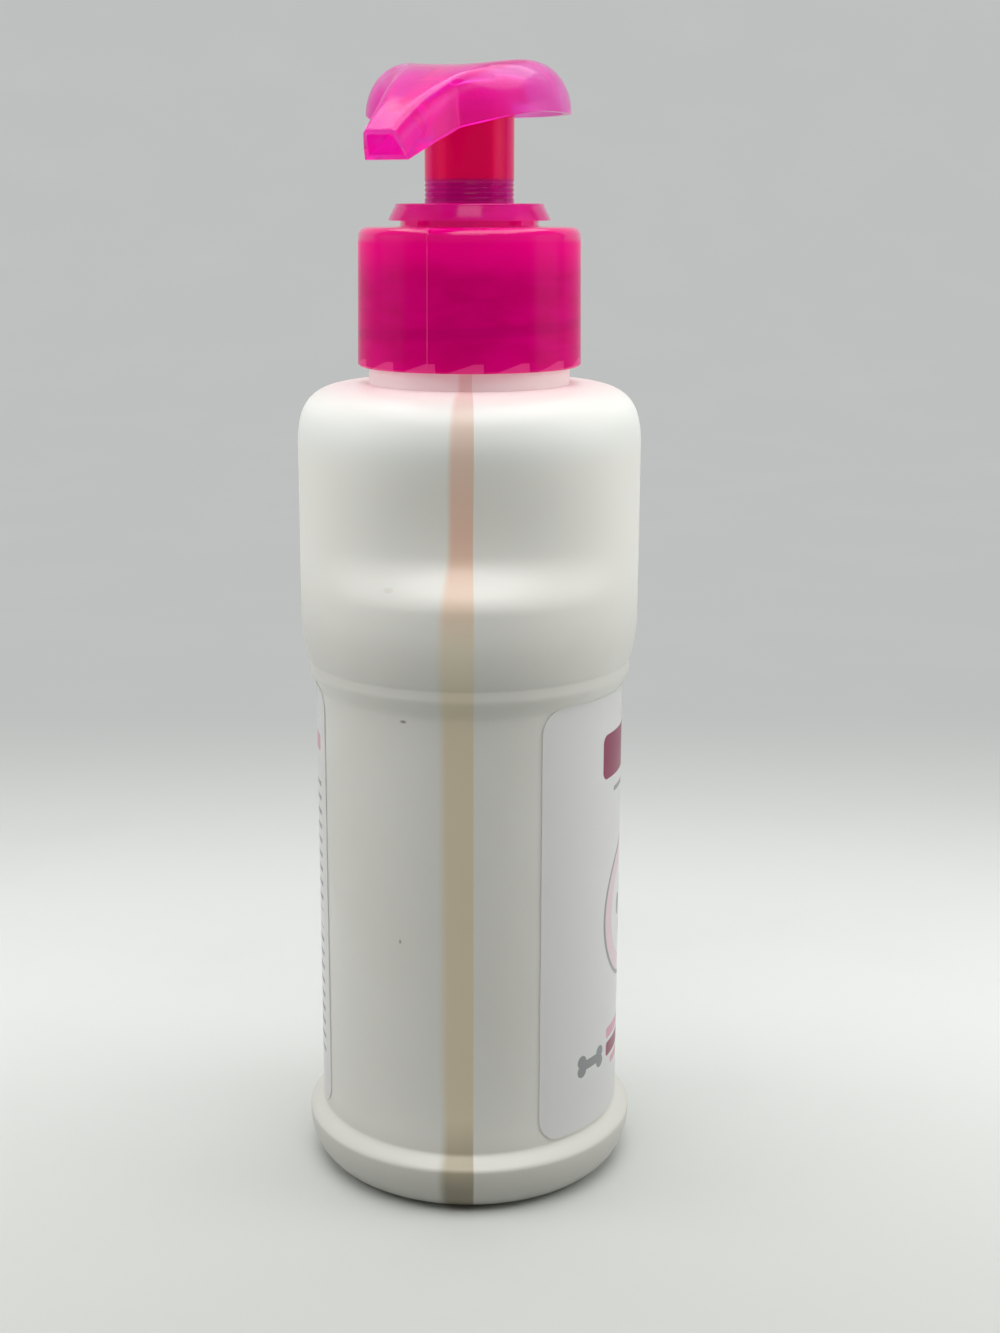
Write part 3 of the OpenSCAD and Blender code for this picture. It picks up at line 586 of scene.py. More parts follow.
@dataclass(frozen=True)
class HeadTint(ClearTint):
    """The same plastic in the pump head: the boss looks deep, the sleeve crimson and its foot purple, with
    painted highlights on the nozzle.
    """

    boss: Colour = (0.92, 0.0, 0.36)
    spout: Colour = (0.97, 0.05, 0.6)
    # colour of the painted highlights on the nozzle's sides
    pale: Colour = (1.0, 0.5, 0.86)
    core: Colour = (0.62, 0.0, 0.17)
    # colours of the painted glow of the sleeve and of its foot
    core_glow: Colour = (0.14, 0.0, 0.024)
    foot: Colour = (0.46, 0.0, 0.26)
    foot_glow: Colour = (0.085, 0.0, 0.032)
    ring: Colour = (0.86, 0.12, 0.6)
    nozzle: float = 155.0
    boss_r: float = 9.15
    boss_z: float = 173.2
    core_r: float = 7.0
    core_z: float = 167.5
    foot_z: float = 157.6
    ring_z: float = 154.8
    ring_step: float = 0.7

    def tone(self, s: Shader) -> Tuple[Any, Any]:
        """Tint and glow by place: dome, nozzle, boss, sleeve and its ringed foot.

        On the nozzle's sides the tint follows the share of the way from the rim to the deck's edge: a pale
        streak, a deep one, and a pale line on the edge itself. Both pale ones are painted highlights.

        Args:
            s: shader that takes the nodes.

        Returns:
            Base colour and emission colour.
        """
        colour, glow = super().tone(s)
        x, y, z = s.axes()
        turn = math.radians(self.nozzle)
        along = x * math.cos(turn) + y * math.sin(turn)
        ahead, wing = along.rise(5.0, 13.0), along.rise(-2.0, 8.0)
        colour = s.mix(ahead, colour, self.spout)
        # painted glow, stronger on the nozzle
        glow = s.mix(ahead, glow, tuple(1.5 * v for v in self.glow))
        share = s.add("ShaderNodeAttribute", {"attribute_name": CREASE}, output="Fac")
        # painted highlight: a pale streak along the nozzle's side
        streak = share.rise(0.46, 0.58) * (1.0 - share.rise(0.6, 0.7))
        groove = share.rise(0.7, 0.77) * (1.0 - share.rise(0.79, 0.87))
        colour = s.mix(groove * wing * 0.6, colour, self.boss)
        # painted highlights: the pale line on the deck's edge and the pale streak
        colour = s.mix((share.rise(0.84, 1.0) * 0.6).most(streak * 0.35) * wing, colour, self.pale)
        radius = (x * x + y * y).root()
        inner = (radius - self.boss_r).inside(0.05) * (1.0 - z.rise(self.boss_z - 0.3, self.boss_z))
        core = (radius - self.core_r).inside(0.3) * (1.0 - z.rise(self.core_z - 0.8, self.core_z))
        foot = 1.0 - z.rise(self.foot_z - 0.4, self.foot_z)
        ring = (abs((z - self.ring_z).wrap(self.ring_step)) - 0.06).inside(0.1)
        foot_tone = s.mix(ring * 0.7, self.foot, self.ring)
        boss = s.mix(y.rise(-3.0, 5.0), self.boss, self.spout)
        colour = s.mix(core, s.mix(inner, colour, boss), s.mix(foot, self.core, foot_tone))
        # painted glow of the sleeve and its foot
        glow = s.mix(core, glow, s.mix(foot, self.core_glow, self.foot_glow))
        return colour, glow


@dataclass(frozen=True)
class ClosureTint(ClearTint):
    """The same plastic in the closure: thick places deeper, thin ones paler, with painted light on its top
    and parting lines.
    """

    # paler tone of the thin notches, also used for the painted highlight on the parting lines
    thin: Colour = (1.0, 0.12, 0.42)
    low_z: float = 129.8
    high_z: float = 150.5
    thread_z: float = 133.5
    pitch: float = 4.2
    notch_step: float = 24.0
    notch_span: float = 19.04
    notch_h: float = 1.4
    parting: float = 159.0

    def tone(self, s: Shader) -> Tuple[Any, Any]:
        """Tint and glow by place: painted light near the top, paler in notches, a painted highlight on the
        parting lines, deeper on the thread.

        Args:
            s: shader that takes the nodes.

        Returns:
            Base colour and emission colour.
        """
        colour, glow = super().tone(s)
        x, y, z = s.axes()
        turn = s.turn(x, y, 180.0) + 180.0
        climb = z - self.thread_z - turn * (self.pitch / 360.0)
        begun = z.rise(self.thread_z - 1.2, self.thread_z - 0.4)
        ended = z.rise(self.thread_z + 4.4, self.thread_z + 5.6)
        thread = (abs(climb.wrap(self.pitch)) - 0.8).inside(0.35) * begun * (1.0 - ended)
        colour = s.mix(thread * 0.3, colour, tuple(0.62 * v for v in self.deep))
        # painted light near the top: a paler tint and a brighter glow
        upper = z.rise(self.high_z - 8.0, self.high_z - 3.0)
        colour = s.mix(upper * 0.7, colour, self.light)
        glow = s.mix(upper, glow, tuple(2.2 * v for v in self.glow))
        along = s.turn(x, y, 180.0).wrap(self.notch_step) + self.notch_step / 2.0
        ramp = (along / (0.75 * self.notch_span)).least(1.0) * self.notch_h
        roof = ramp * (along - self.notch_span).inside(0.2)
        notch = (z - self.low_z - roof).inside(0.08)
        below_top = 1.0 - z.rise(self.high_z - 3.5, self.high_z - 1.5)
        # painted highlight along the parting lines' fine ridges
        seam_highlight = (abs(s.turn(x, y, self.parting).wrap(180.0)) - 0.22).inside(0.12) * below_top
        return s.mix((notch * 0.55).most(seam_highlight * 0.7), colour, self.thin), glow


@dataclass(frozen=True)
class LabelFilm:
    """White film with a plain generic print: bars, a ringed disc, a paw and a bone."""

    side: LabelSide
    radius: float
    middle_z: float
    film: Colour = linear(244, 244, 242)
    plum: Colour = linear(150, 34, 82)
    rose: Colour = linear(232, 170, 190)
    blush: Colour = linear(246, 222, 228)
    grey: Colour = linear(158, 160, 162)

    def material(self) -> bpy.types.Material:
        """Builds the material from distances on the label's own plane, u round the panel and v up it.

        Returns:
            The material.
        """
        s = Shader(f"label_{self.side.name.lower()}")
        x, y, z = s.axes()
        u = s.turn(x, y, self.side.value) * (self.radius * math.pi / 180.0)
        v = z - self.middle_z
        fibre = s.noise(300.0, 3.0)
        colour = s.mix(fibre * 0.25, self.film, (0.84, 0.84, 0.83))
        prints = self._front(u, v) if self.side is LabelSide.FRONT else self._back(u, v)
        for mask, tone in prints:
            colour = s.mix(mask, colour, tone)
        ink = union([mask for mask, _ in prints])
        rough = 0.3 + fibre * 0.1 - ink * 0.05
        relief = s.bump(fibre * 0.4 + ink * 0.2, 0.02, 0.4)
        return s.finish({"Base Color": colour, "Roughness": rough, "IOR": 1.5, "Normal": relief})

    @staticmethod
    def _bar(u: Wire, v: Wire, middle: Sequence[float], half: Sequence[float], corner: float) -> Wire:
        """Mask of a bar with round corners, from the distance to its inner box less the corner radius."""
        du = (abs(u - middle[0]) - (half[0] - corner)).most(0.0)
        dv = (abs(v - middle[1]) - (half[1] - corner)).most(0.0)
        return ((du * du + dv * dv).root() - corner).inside()

    @staticmethod
    def _oval(u: Wire, v: Wire, middle: Sequence[float], half: Sequence[float]) -> Wire:
        """Mask of an ellipse."""
        du, dv = (u - middle[0]) / half[0], (v - middle[1]) / half[1]
        return (((du * du + dv * dv).root() - 1.0) * min(half)).inside()

    def _front(self, u: Wire, v: Wire) -> List[Tuple[Wire, Colour]]:
        """Masks and colours of the front print, from the lowest layer up."""
        pads = (((0.0, -5.2), (3.6, 2.9)), ((-4.7, -1.4), (1.3, 1.9)), ((-1.7, 1.3), (1.4, 2.1)),
                ((1.7, 1.3), (1.4, 2.1)), ((4.7, -1.4), (1.3, 1.9)))
        paw = union([self._oval(u, v, place, half) for place, half in pads])
        knobs = ((-18.1, -23.8), (-18.1, -25.4), (-13.1, -23.8), (-13.1, -25.4))
        bone = union([self._bar(u, v, (-15.6, -24.6), (2.6, 0.8), 0.3)]
                     + [self._oval(u, v, place, (1.05, 1.05)) for place in knobs])
        return [
            (self._bar(u, v, (0.0, 25.2), (13.4, 3.6), 1.4), self.plum),
            (self._bar(u, v, (0.0, 19.2), (9.0, 0.4), 0.3), self.grey),
            (self._oval(u, v, (0.0, -2.2), (12.4, 12.4)), self.grey),
            (self._oval(u, v, (0.0, -2.2), (11.7, 11.7)), self.blush),
            (self._oval(u, v, (0.0, -2.2), (9.0, 9.0)), self.film),
            (paw, self.grey),
            (bone, self.grey),
            (self._bar(u, v, (0.0, -21.8), (10.6, 0.9), 0.5), self.rose),
            (self._bar(u, v, (0.0, -24.6), (10.6, 1.2), 0.6), self.plum),
            (self._bar(u, v, (0.0, -27.2), (8.4, 0.6), 0.4), self.rose),
        ]

    def _back(self, u: Wire, v: Wire) -> List[Tuple[Wire, Colour]]:
        """Masks and colours of the back print: blocks of short grey bars and a rose one above."""
        pitch = 2.4
        rows = abs(v.wrap(pitch)) - 0.4
        edge = abs(u) - 6.6
        body = edge.most(rows).most(abs(v + 4.0) - 24.0).inside(0.08)
        gap = (abs(v + 3.6) - 1.4).inside(0.05)
        return [
            (body * (1.0 - gap), self.grey),
            (self._bar(u, v, (0.0, 26.0), (6.6, 1.4), 0.6), self.rose),
        ]


@dataclass(frozen=True)
class MilkyPlastic:
    """Uncoloured polypropylene or polyethylene, cloudy and half matt."""

    name: str
    tone: Colour
    rough: float

    def material(self) -> bpy.types.Material:
        """Builds the material: a milky tone with faint clouds and moulding grain.

        Returns:
            The material.
        """
        s = Shader(self.name)
        clouds = s.noise(220.0, 4.0)
        shade = tuple(0.86 * v for v in self.tone)
        colour = s.mix(clouds.rise(0.35, 0.75), self.tone, shade)
        relief = s.bump(s.noise(900.0, 2.0), 0.02, 0.4)
        return s.finish({"Base Color": colour, "Roughness": self.rough + clouds * 0.1, "Normal": relief})


@dataclass(frozen=True)
class BrightSteel:
    """Drawn stainless steel with fine lines."""

    tone: Colour = (0.58, 0.58, 0.6)

    def material(self) -> bpy.types.Material:
        """Builds the material: metal with drawn lines in its polish.

        Returns:
            The material.
        """
        s = Shader("steel_bright")
        lines = s.noise(700.0, 3.0, (1.0, 1.0, 6.0))
        colour = s.mix(lines * 0.5, self.tone, tuple(0.7 * v for v in self.tone))
        return s.finish({"Base Color": colour, "Metallic": 1.0, "Roughness": 0.18 + lines * 0.14,
                         "Normal": s.bump(lines, 0.01, 0.3)})


def dress(piece: bpy.types.Object, body: Body, material: bpy.types.Material,
          replaced: Sequence[str] = ()) -> bpy.types.Object:
    """Gives a new piece its material, body, slot and the nodes that it stands for.

    Args:
        piece: the new object.
        body: the body that it rides on.
        material: its material.
        replaced: CAD nodes that it replaces.

    Returns:
        The piece.
    """
    piece.data.materials.append(material)
    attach(piece, body.value)
    if replaced:
        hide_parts(*replaced)
    LOG.info("%s: %d faces on body %s", piece.name, len(piece.data.polygons), body.value)
    return piece


def paint_node(node: str, material: bpy.types.Material) -> None:
    """Gives a CAD node a material in its own slots.

    Args:
        node: name of the node.
        material: its material.
    """
    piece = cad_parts[node]
    if not piece.material_slots:
        piece.data.materials.append(material)
    for held in piece.material_slots:
        held.material = material
    LOG.info("%s: kept from the frame", node)


@dataclass
class Bottle:
    """The blown bottle as one closed surface: foot, panel, bead, grip band, shoulder, neck and inside."""

    body_r: float = 26.5
    panel_r: float = 24.2
    base_r: float = 26.6
    base_round: float = 4.8
    base_rise: float = 7.0
    foot_in: float = 19.6
    pushup: float = 2.4
    base_z: float = 9.7
    panel_z: float = 79.6
    bead_r: float = 25.4
    bead_foot: float = 3.4
    bead_z: float = 84.4
    band_z: float = 92.0
    shoulder_z: float = 116.1
    shoulder_h: float = 11.0
    shoulder_power: float = 0.6
    wall: float = 1.1
    scoop_depth: float = 4.6
    scoop_z: float = 104.0
    scoop_up: float = 17.0
    scoop_down: float = 8.0
    scoop_angle: float = 66.0
    collar_r: float = 15.4
    collar_h: float = 5.0
    neck_r: float = 14.0
    thread_r: float = 15.1
    bore_r: float = 12.4
    rim_z: float = 146.2
    thread_z: float = 135.6
    pitch: float = 4.2
    turns: float = 1.5
    pinch_w: float = 9.0
    pinch_depth: float = 0.6
    columns: int = 232
    crowding: float = 0.3

    @property
    def neck_z(self) -> float:
        """Height of the foot of the neck."""
        return self.shoulder_z + self.shoulder_h

    def flare(self, z: np.ndarray) -> np.ndarray:
        """Rise of the bead over the panel at height z: a cubic step."""
        return (self.bead_r - self.panel_r) * ease((z - self.panel_z) / self.bead_foot)

    def bead(self) -> np.ndarray:
        """Run from the panel over the bead into the grip band, whose lower edge is a part of a flat oval."""
        z = np.linspace(self.panel_z, self.band_z, 56)
        below = np.clip((self.band_z - z) / (self.band_z - self.bead_z), 0.0, 1.0)
        over = (self.body_r - self.bead_r) * (1.0 - below ** 2) ** 0.75
        return np.stack([self.panel_r + self.flare(z) + over, z], axis=1)

    def shoulder(self, degrees: np.ndarray, foot_r: float, wall_r: float, height: float) -> np.ndarray:
        """Run of the shoulder: radius by a power of the cosine and height by that power of the sine.

        Args:
            degrees: angles along the run, 0 at the wall and 90 at the neck.
            foot_r: radius at the neck.
            wall_r: radius at the wall.
            height: rise from the wall to the neck.

        Returns:
            Array of points, as radius and height.
        """
        q = np.radians(degrees)
        radius = foot_r + (wall_r - foot_r) * np.cos(q) ** self.shoulder_power
        return np.stack([radius, self.shoulder_z + height * np.sin(q) ** self.shoulder_power], axis=1)

    def push(self, r: np.ndarray) -> np.ndarray:
        """Height of the base's pushed-up middle at radius r: half a cosine wave."""
        return self.pushup * (1.0 + np.cos(math.pi * r / self.foot_in)) / 2.0

    def outside(self) -> np.ndarray:
        """Profile from the axis under the base up to the rim, as radius and height."""
        foot_r = self.base_r - self.base_round
        r = np.linspace(0.4, self.foot_in, 22)
        push = np.stack([r, self.push(r)], axis=1)
        collar_z = self.neck_z + self.collar_h
        shoulder = self.shoulder(np.linspace(0.0, 89.0, 34), self.collar_r, self.body_r, self.shoulder_h)
        return chain(
            push, arc((foot_r, self.base_rise), (self.base_round, self.base_rise), -90, 0, 18),
            s_curve((self.base_r, self.base_rise + 0.4), (self.panel_r, self.base_z), 16),
            line((self.panel_r, self.base_z), (self.panel_r, self.panel_z), 6),
            self.bead(), line((self.body_r, self.band_z), (self.body_r, self.shoulder_z), 46), shoulder,
            line((self.collar_r, self.neck_z), (self.collar_r, collar_z - 0.4), 4),
            arc((self.collar_r - 0.4, collar_z - 0.4), (0.4, 0.4), 0, 90, 4),
            line((self.neck_r, collar_z), (self.neck_r, self.rim_z - 0.4), 56),
            arc((self.neck_r - 0.4, self.rim_z - 0.4), (0.4, 0.4), 0, 90, 4))

    def inside(self) -> np.ndarray:
        """Profile from the rim down the bore and the inner wall to the axis on the floor."""
        shoulder = self.shoulder(np.linspace(89.0, 0.0, 14), self.bore_r, self.body_r - self.wall,
                                 self.shoulder_h - self.wall)
        r = np.linspace(self.foot_in, 0.4, 8)
        floor = np.stack([r, self.wall + self.push(r)], axis=1)
        inner = self.panel_r - self.wall
        low, rise = self.base_round - self.wall, self.base_rise - self.wall
        return chain(
            line((self.bore_r, self.rim_z), (self.bore_r, self.neck_z - self.wall), 2), shoulder,
            line((self.body_r - self.wall, self.shoulder_z), (self.body_r - self.wall, self.band_z), 20),
            line((self.bead_r - self.wall, self.bead_z), (inner, self.panel_z), 2),
            s_curve((inner, self.base_z), (self.base_r - self.wall, self.base_rise + 0.2), 5),
            arc((self.base_r - self.base_round, self.base_rise), (low, rise), 0, -90, 5), floor)

    def scoop(self, angle: np.ndarray, height: np.ndarray) -> np.ndarray:
        """Depth of the two scoops: cos^2 along the height times cos^2 round the bottle."""
        dz = height - self.scoop_z
        reach = np.where(dz > 0.0, self.scoop_up, self.scoop_down)
        along = np.cos(np.clip(dz / reach, -1.0, 1.0) * math.pi / 2.0) ** 2
        off = np.abs((np.degrees(angle) + 90.0) % 180.0 - 90.0)
        around = np.cos(np.clip(off / self.scoop_angle, 0.0, 1.0) * math.pi / 2.0) ** 2
        return self.scoop_depth * along * around

    def build(self) -> bpy.types.Object:
        """Builds r(angle, row) = profile - scoops + thread, with the pinch-off groove in the foot.

        The columns crowd towards the middles of the scoops.

        Returns:
            The bottle.
        """
        outer, inner = self.outside(), self.inside()
        profile = np.concatenate([outer, inner])
        share = np.linspace(0.0, 2.0 * math.pi, self.columns, endpoint=False)
        angle = (share - self.crowding * np.sin(2.0 * share))[None, :]
        radius, height = profile[:, :1], profile[:, 1:]
        radius = radius - self.scoop(angle, height)
        outside = (np.arange(len(profile)) < len(outer))[:, None]
        thread = helix_height(angle, height, self.thread_z, self.pitch, self.turns, 1.0, 0.5)
        on_neck = outside & (height > self.neck_z + self.collar_h - 0.01) & (height < self.rim_z - 0.3)
        radius = radius + np.where(on_neck, thread * (self.thread_r - self.neck_r), 0.0)
        aside = np.abs(radius * np.sin(angle))
        groove = self.pinch_depth * (1.0 - ease(2.0 * aside / self.pinch_w))
        lift = np.maximum(groove - height, 0.0)
        height = height + np.where(outside & (height < self.base_round), lift, 0.0)
        made = Skin().grid(spun(radius, height, angle), caps=True).build("bottle_shell", 40.0)
        return dress(made, Body.BOTTLE, BlownPlastic().material(), ["bottle"])


@dataclass
class FilmLabel:
    """A film label on the panel, with round corners and a real thickness."""

    side: LabelSide
    width: float
    height: float = 70.6
    corner: float = 4.0
    thickness: float = 0.15
    radius: float = 24.22
    middle_z: float = 45.3
    bottle: Bottle = field(default_factory=Bottle)

    def build(self) -> bpy.types.Object:
        """Builds the film: each row is a loop round its two faces, as wide as the round corners leave it."""
        rows, columns = 60, 72
        bend = np.linspace(0.0, math.pi / 2.0, 16)
        top = self.height / 2.0 - self.corner + self.corner * np.sin(bend)
        half = self.width / 2.0 - self.corner + self.corner * np.cos(bend)
        v = np.concatenate([-top[::-1], np.linspace(-top[0], top[0], rows)[1:-1], top])
        w = np.concatenate([half[::-1], np.full(rows - 2, self.width / 2.0), half])
        across = np.linspace(-1.0, 1.0, columns)
        middle = math.radians(self.side.value)
        edge = w[:, None] / self.radius
        turn = np.concatenate([across[None, :] * edge, across[None, ::-1] * edge], axis=1) + middle
        height = (self.middle_z + v)[:, None]
        radius = np.repeat([self.radius + self.thickness, self.radius], columns)[None, :]
        grid = spun(radius + self.bottle.flare(height), height, turn)
        name = f"{self.side.name.lower()}_film"
        made = Skin().grid(grid, caps=True).build(name, 50.0)
        finish = LabelFilm(self.side, self.radius, self.middle_z)
        return dress(made, Body.BOTTLE, finish.material(), [f"{self.side.name.lower()}_label"])


@dataclass
class Closure:
    """The screw closure: a drafted shell with a thread inside, ratchet notches and two parting lines."""

    low_r: float = 17.1
    high_r: float = 16.85
    bore_r: float = 15.65
    hole_r: float = 10.77
    low_z: float = 129.8
    under_z: float = 148.9
    top_z: float = 150.5
    corner: float = 1.4
    edge: float = 0.3
    crest_r: float = 14.4
    thread_z: float = 133.5
    pitch: float = 4.2
    turns: float = 1.15
    notches: int = 15
    notch_h: float = 1.4
    notch_depth: float = 0.7
    notch_len: float = 5.2
    parting: float = 159.0
    parting_rise: float = 0.07
    parting_rows: int = 22

    def columns(self) -> np.ndarray:
        """Angles of the columns in degrees, closer at each notch's steep end and at the parting lines."""
        step = 360.0 / self.notches
        end = math.degrees(self.notch_len / self.bore_r)
        ramp = np.concatenate([np.linspace(0.0, 0.75 * end, 7), [0.9 * end, end, end + 0.12],
                               np.linspace(end + 0.12, step, 4)[1:-1]])
        turns = (ramp[None, :] + step * np.arange(self.notches)[:, None]).ravel()
        lines = (self.parting + np.array([0.0, 180.0])[:, None] + np.array([-0.5, 0.0, 0.5])[None, :]).ravel()
        return np.unique(np.round(np.concatenate([turns, lines]) % 360.0, 4))

    def notch_rise(self, degrees: np.ndarray) -> np.ndarray:
        """Height of the notches' roof at each angle: a ramp, a flat and a steep drop."""
        end = math.degrees(self.notch_len / self.bore_r)
        along = np.mod(degrees + 1e-6, 360.0 / self.notches)
        roof = self.notch_h * np.clip(along / (0.75 * end), 0.0, 1.0)
        return np.where(along <= end + 0.01, np.maximum(roof, 0.02), 0.02)

    def build(self) -> bpy.types.Object:
        """Builds the shell: up the outside, over the top, down the hole and the bore to the notches.

        The parting lines are fine ridges up the side and most of the way round the top corner.

        Returns:
            The closure.
        """
        degrees = self.columns()
        angle = np.radians(degrees)[None, :]
        ones = np.ones_like(angle)
        outer = chain(
            [(self.low_r - self.edge, self.low_z)], line((self.low_r, self.low_z + self.edge),
                                                         (self.high_r, self.top_z - self.corner), 12),
            arc((self.high_r - self.corner, self.top_z - self.corner), (self.corner, self.corner), 0, 90, 10),
            line((self.high_r - self.corner, self.top_z), (self.hole_r + 0.2, self.top_z), 4),
            [(self.hole_r, self.top_z - 0.2)],
            line((self.hole_r, self.under_z), (self.bore_r - 0.3, self.under_z), 3))
        off = (degrees - self.parting + 90.0) % 180.0 - 90.0
        ridge = np.where(np.abs(off) < 0.2, self.parting_rise, 0.0)[None, :]
        on_side = ((outer[:, 1] > self.low_z) & (outer[:, 0] > self.hole_r + 3.0)
                   & (np.arange(len(outer)) < self.parting_rows))[:, None]
        shell = spun(outer[:, :1] + ridge * on_side, outer[:, 1:], angle)
        roof = self.low_z + self.notch_rise(degrees)[None, :]
        rows = np.linspace(0.0, 1.0, 70)[:, None]
        bore_z = (self.under_z - 0.3) * (1.0 - rows) + roof * rows
        thread = helix_height(angle, bore_z, self.thread_z, self.pitch, self.turns, 1.0, 0.5)
        bore = spun(self.bore_r - thread * (self.bore_r - self.crest_r), bore_z, angle)
        deep = self.bore_r + self.notch_depth
        notch = np.stack([spun(deep * ones, roof, angle)[0], spun(deep * ones, self.low_z * ones, angle)[0]])
        made = Skin().grid(np.concatenate([shell, bore, notch]), loop=True).build("closure_shell", 30.0)
        # glow sets the colour of a painted glow
        finish = ClosureTint("closure_magenta", deep=(0.67, 0.0, 0.18), light=(0.8, 0.0, 0.25),
                             glow=(0.095, 0.0, 0.028), clear=0.3, rough=0.12, ior=1.25, gloss_z=148.6)
        return dress(made, Body.CLOSURE, finish.material(), ["closure"])


@dataclass
class GuideCollar:
    """The guide collar: a flared flange on four lugs, a well for the sleeve and a plug in the housing."""

    well_r: float = 7.0
    top_z: float = 153.9
    well_z: float = 138.0
    under_z: float = 136.5
    stem_hole_r: float = 3.77
    plug_r: float = 8.9
    seat_z: float = 148.8
    pass_r: float = 10.5
    flange_z: float = 151.4
    flange_r: float = 12.25
    flange_top_r: float = 11.3
    break_r: float = 0.3
    lug_w: float = 2.7
    lug_h: float = 0.7

    def build(self) -> bpy.types.Object:
        """Builds the turned section and the four lugs under its flange."""
        profile = chain(
            line((self.stem_hole_r, self.under_z), (self.plug_r, self.under_z), 2),
            line((self.plug_r, self.seat_z), (self.pass_r, self.seat_z), 2),
            line((self.pass_r, self.flange_z), (self.flange_r, self.flange_z), 2),
            [(self.flange_r, self.flange_z + self.break_r)],
            line((self.flange_top_r + 0.06, self.top_z - 0.5),
                 (self.flange_top_r, self.top_z - self.break_r), 2),
            arc((self.flange_top_r - self.break_r, self.top_z - self.break_r),
                (self.break_r, self.break_r), 0, 90, 5),
            line((self.flange_top_r - 1.4, self.top_z), (self.well_r + 0.3, self.top_z), 2),
            [(self.well_r, self.top_z - 0.3)],
            line((self.well_r, self.well_z), (self.stem_hole_r, self.well_z), 2))
        skin = Skin().grid(revolved(profile, 144), loop=True)
        half = self.lug_w / 2.0
        for quarter in range(4):
            turn = math.radians(45.0 + 90.0 * quarter)
            out = np.array([self.pass_r - 0.2, self.flange_r - 0.2, self.flange_r - 0.2, self.pass_r - 0.2])
            side = np.array([-half, -half, half, half])
            x, y = out * math.cos(turn) - side * math.sin(turn), out * math.sin(turn) + side * math.cos(turn)
            z = np.array([self.flange_z - self.lug_h, self.flange_z + 0.1])[:, None]
            skin.grid(np.stack(np.broadcast_arrays(x[None, :], y[None, :], z), axis=-1), caps=True)
        made = skin.build("guide_collar", 30.0)
        # glow sets the colour of a painted glow
        finish = ClearTint("collar_magenta", deep=(0.82, 0.0, 0.3), light=(0.92, 0.02, 0.4),
                           glow=(0.11, 0.0, 0.045), clear=0.45, rough=0.1, ior=1.35, gloss_z=140.0)
        return dress(made, Body.PUMP, finish.material(), ["chaplet"])


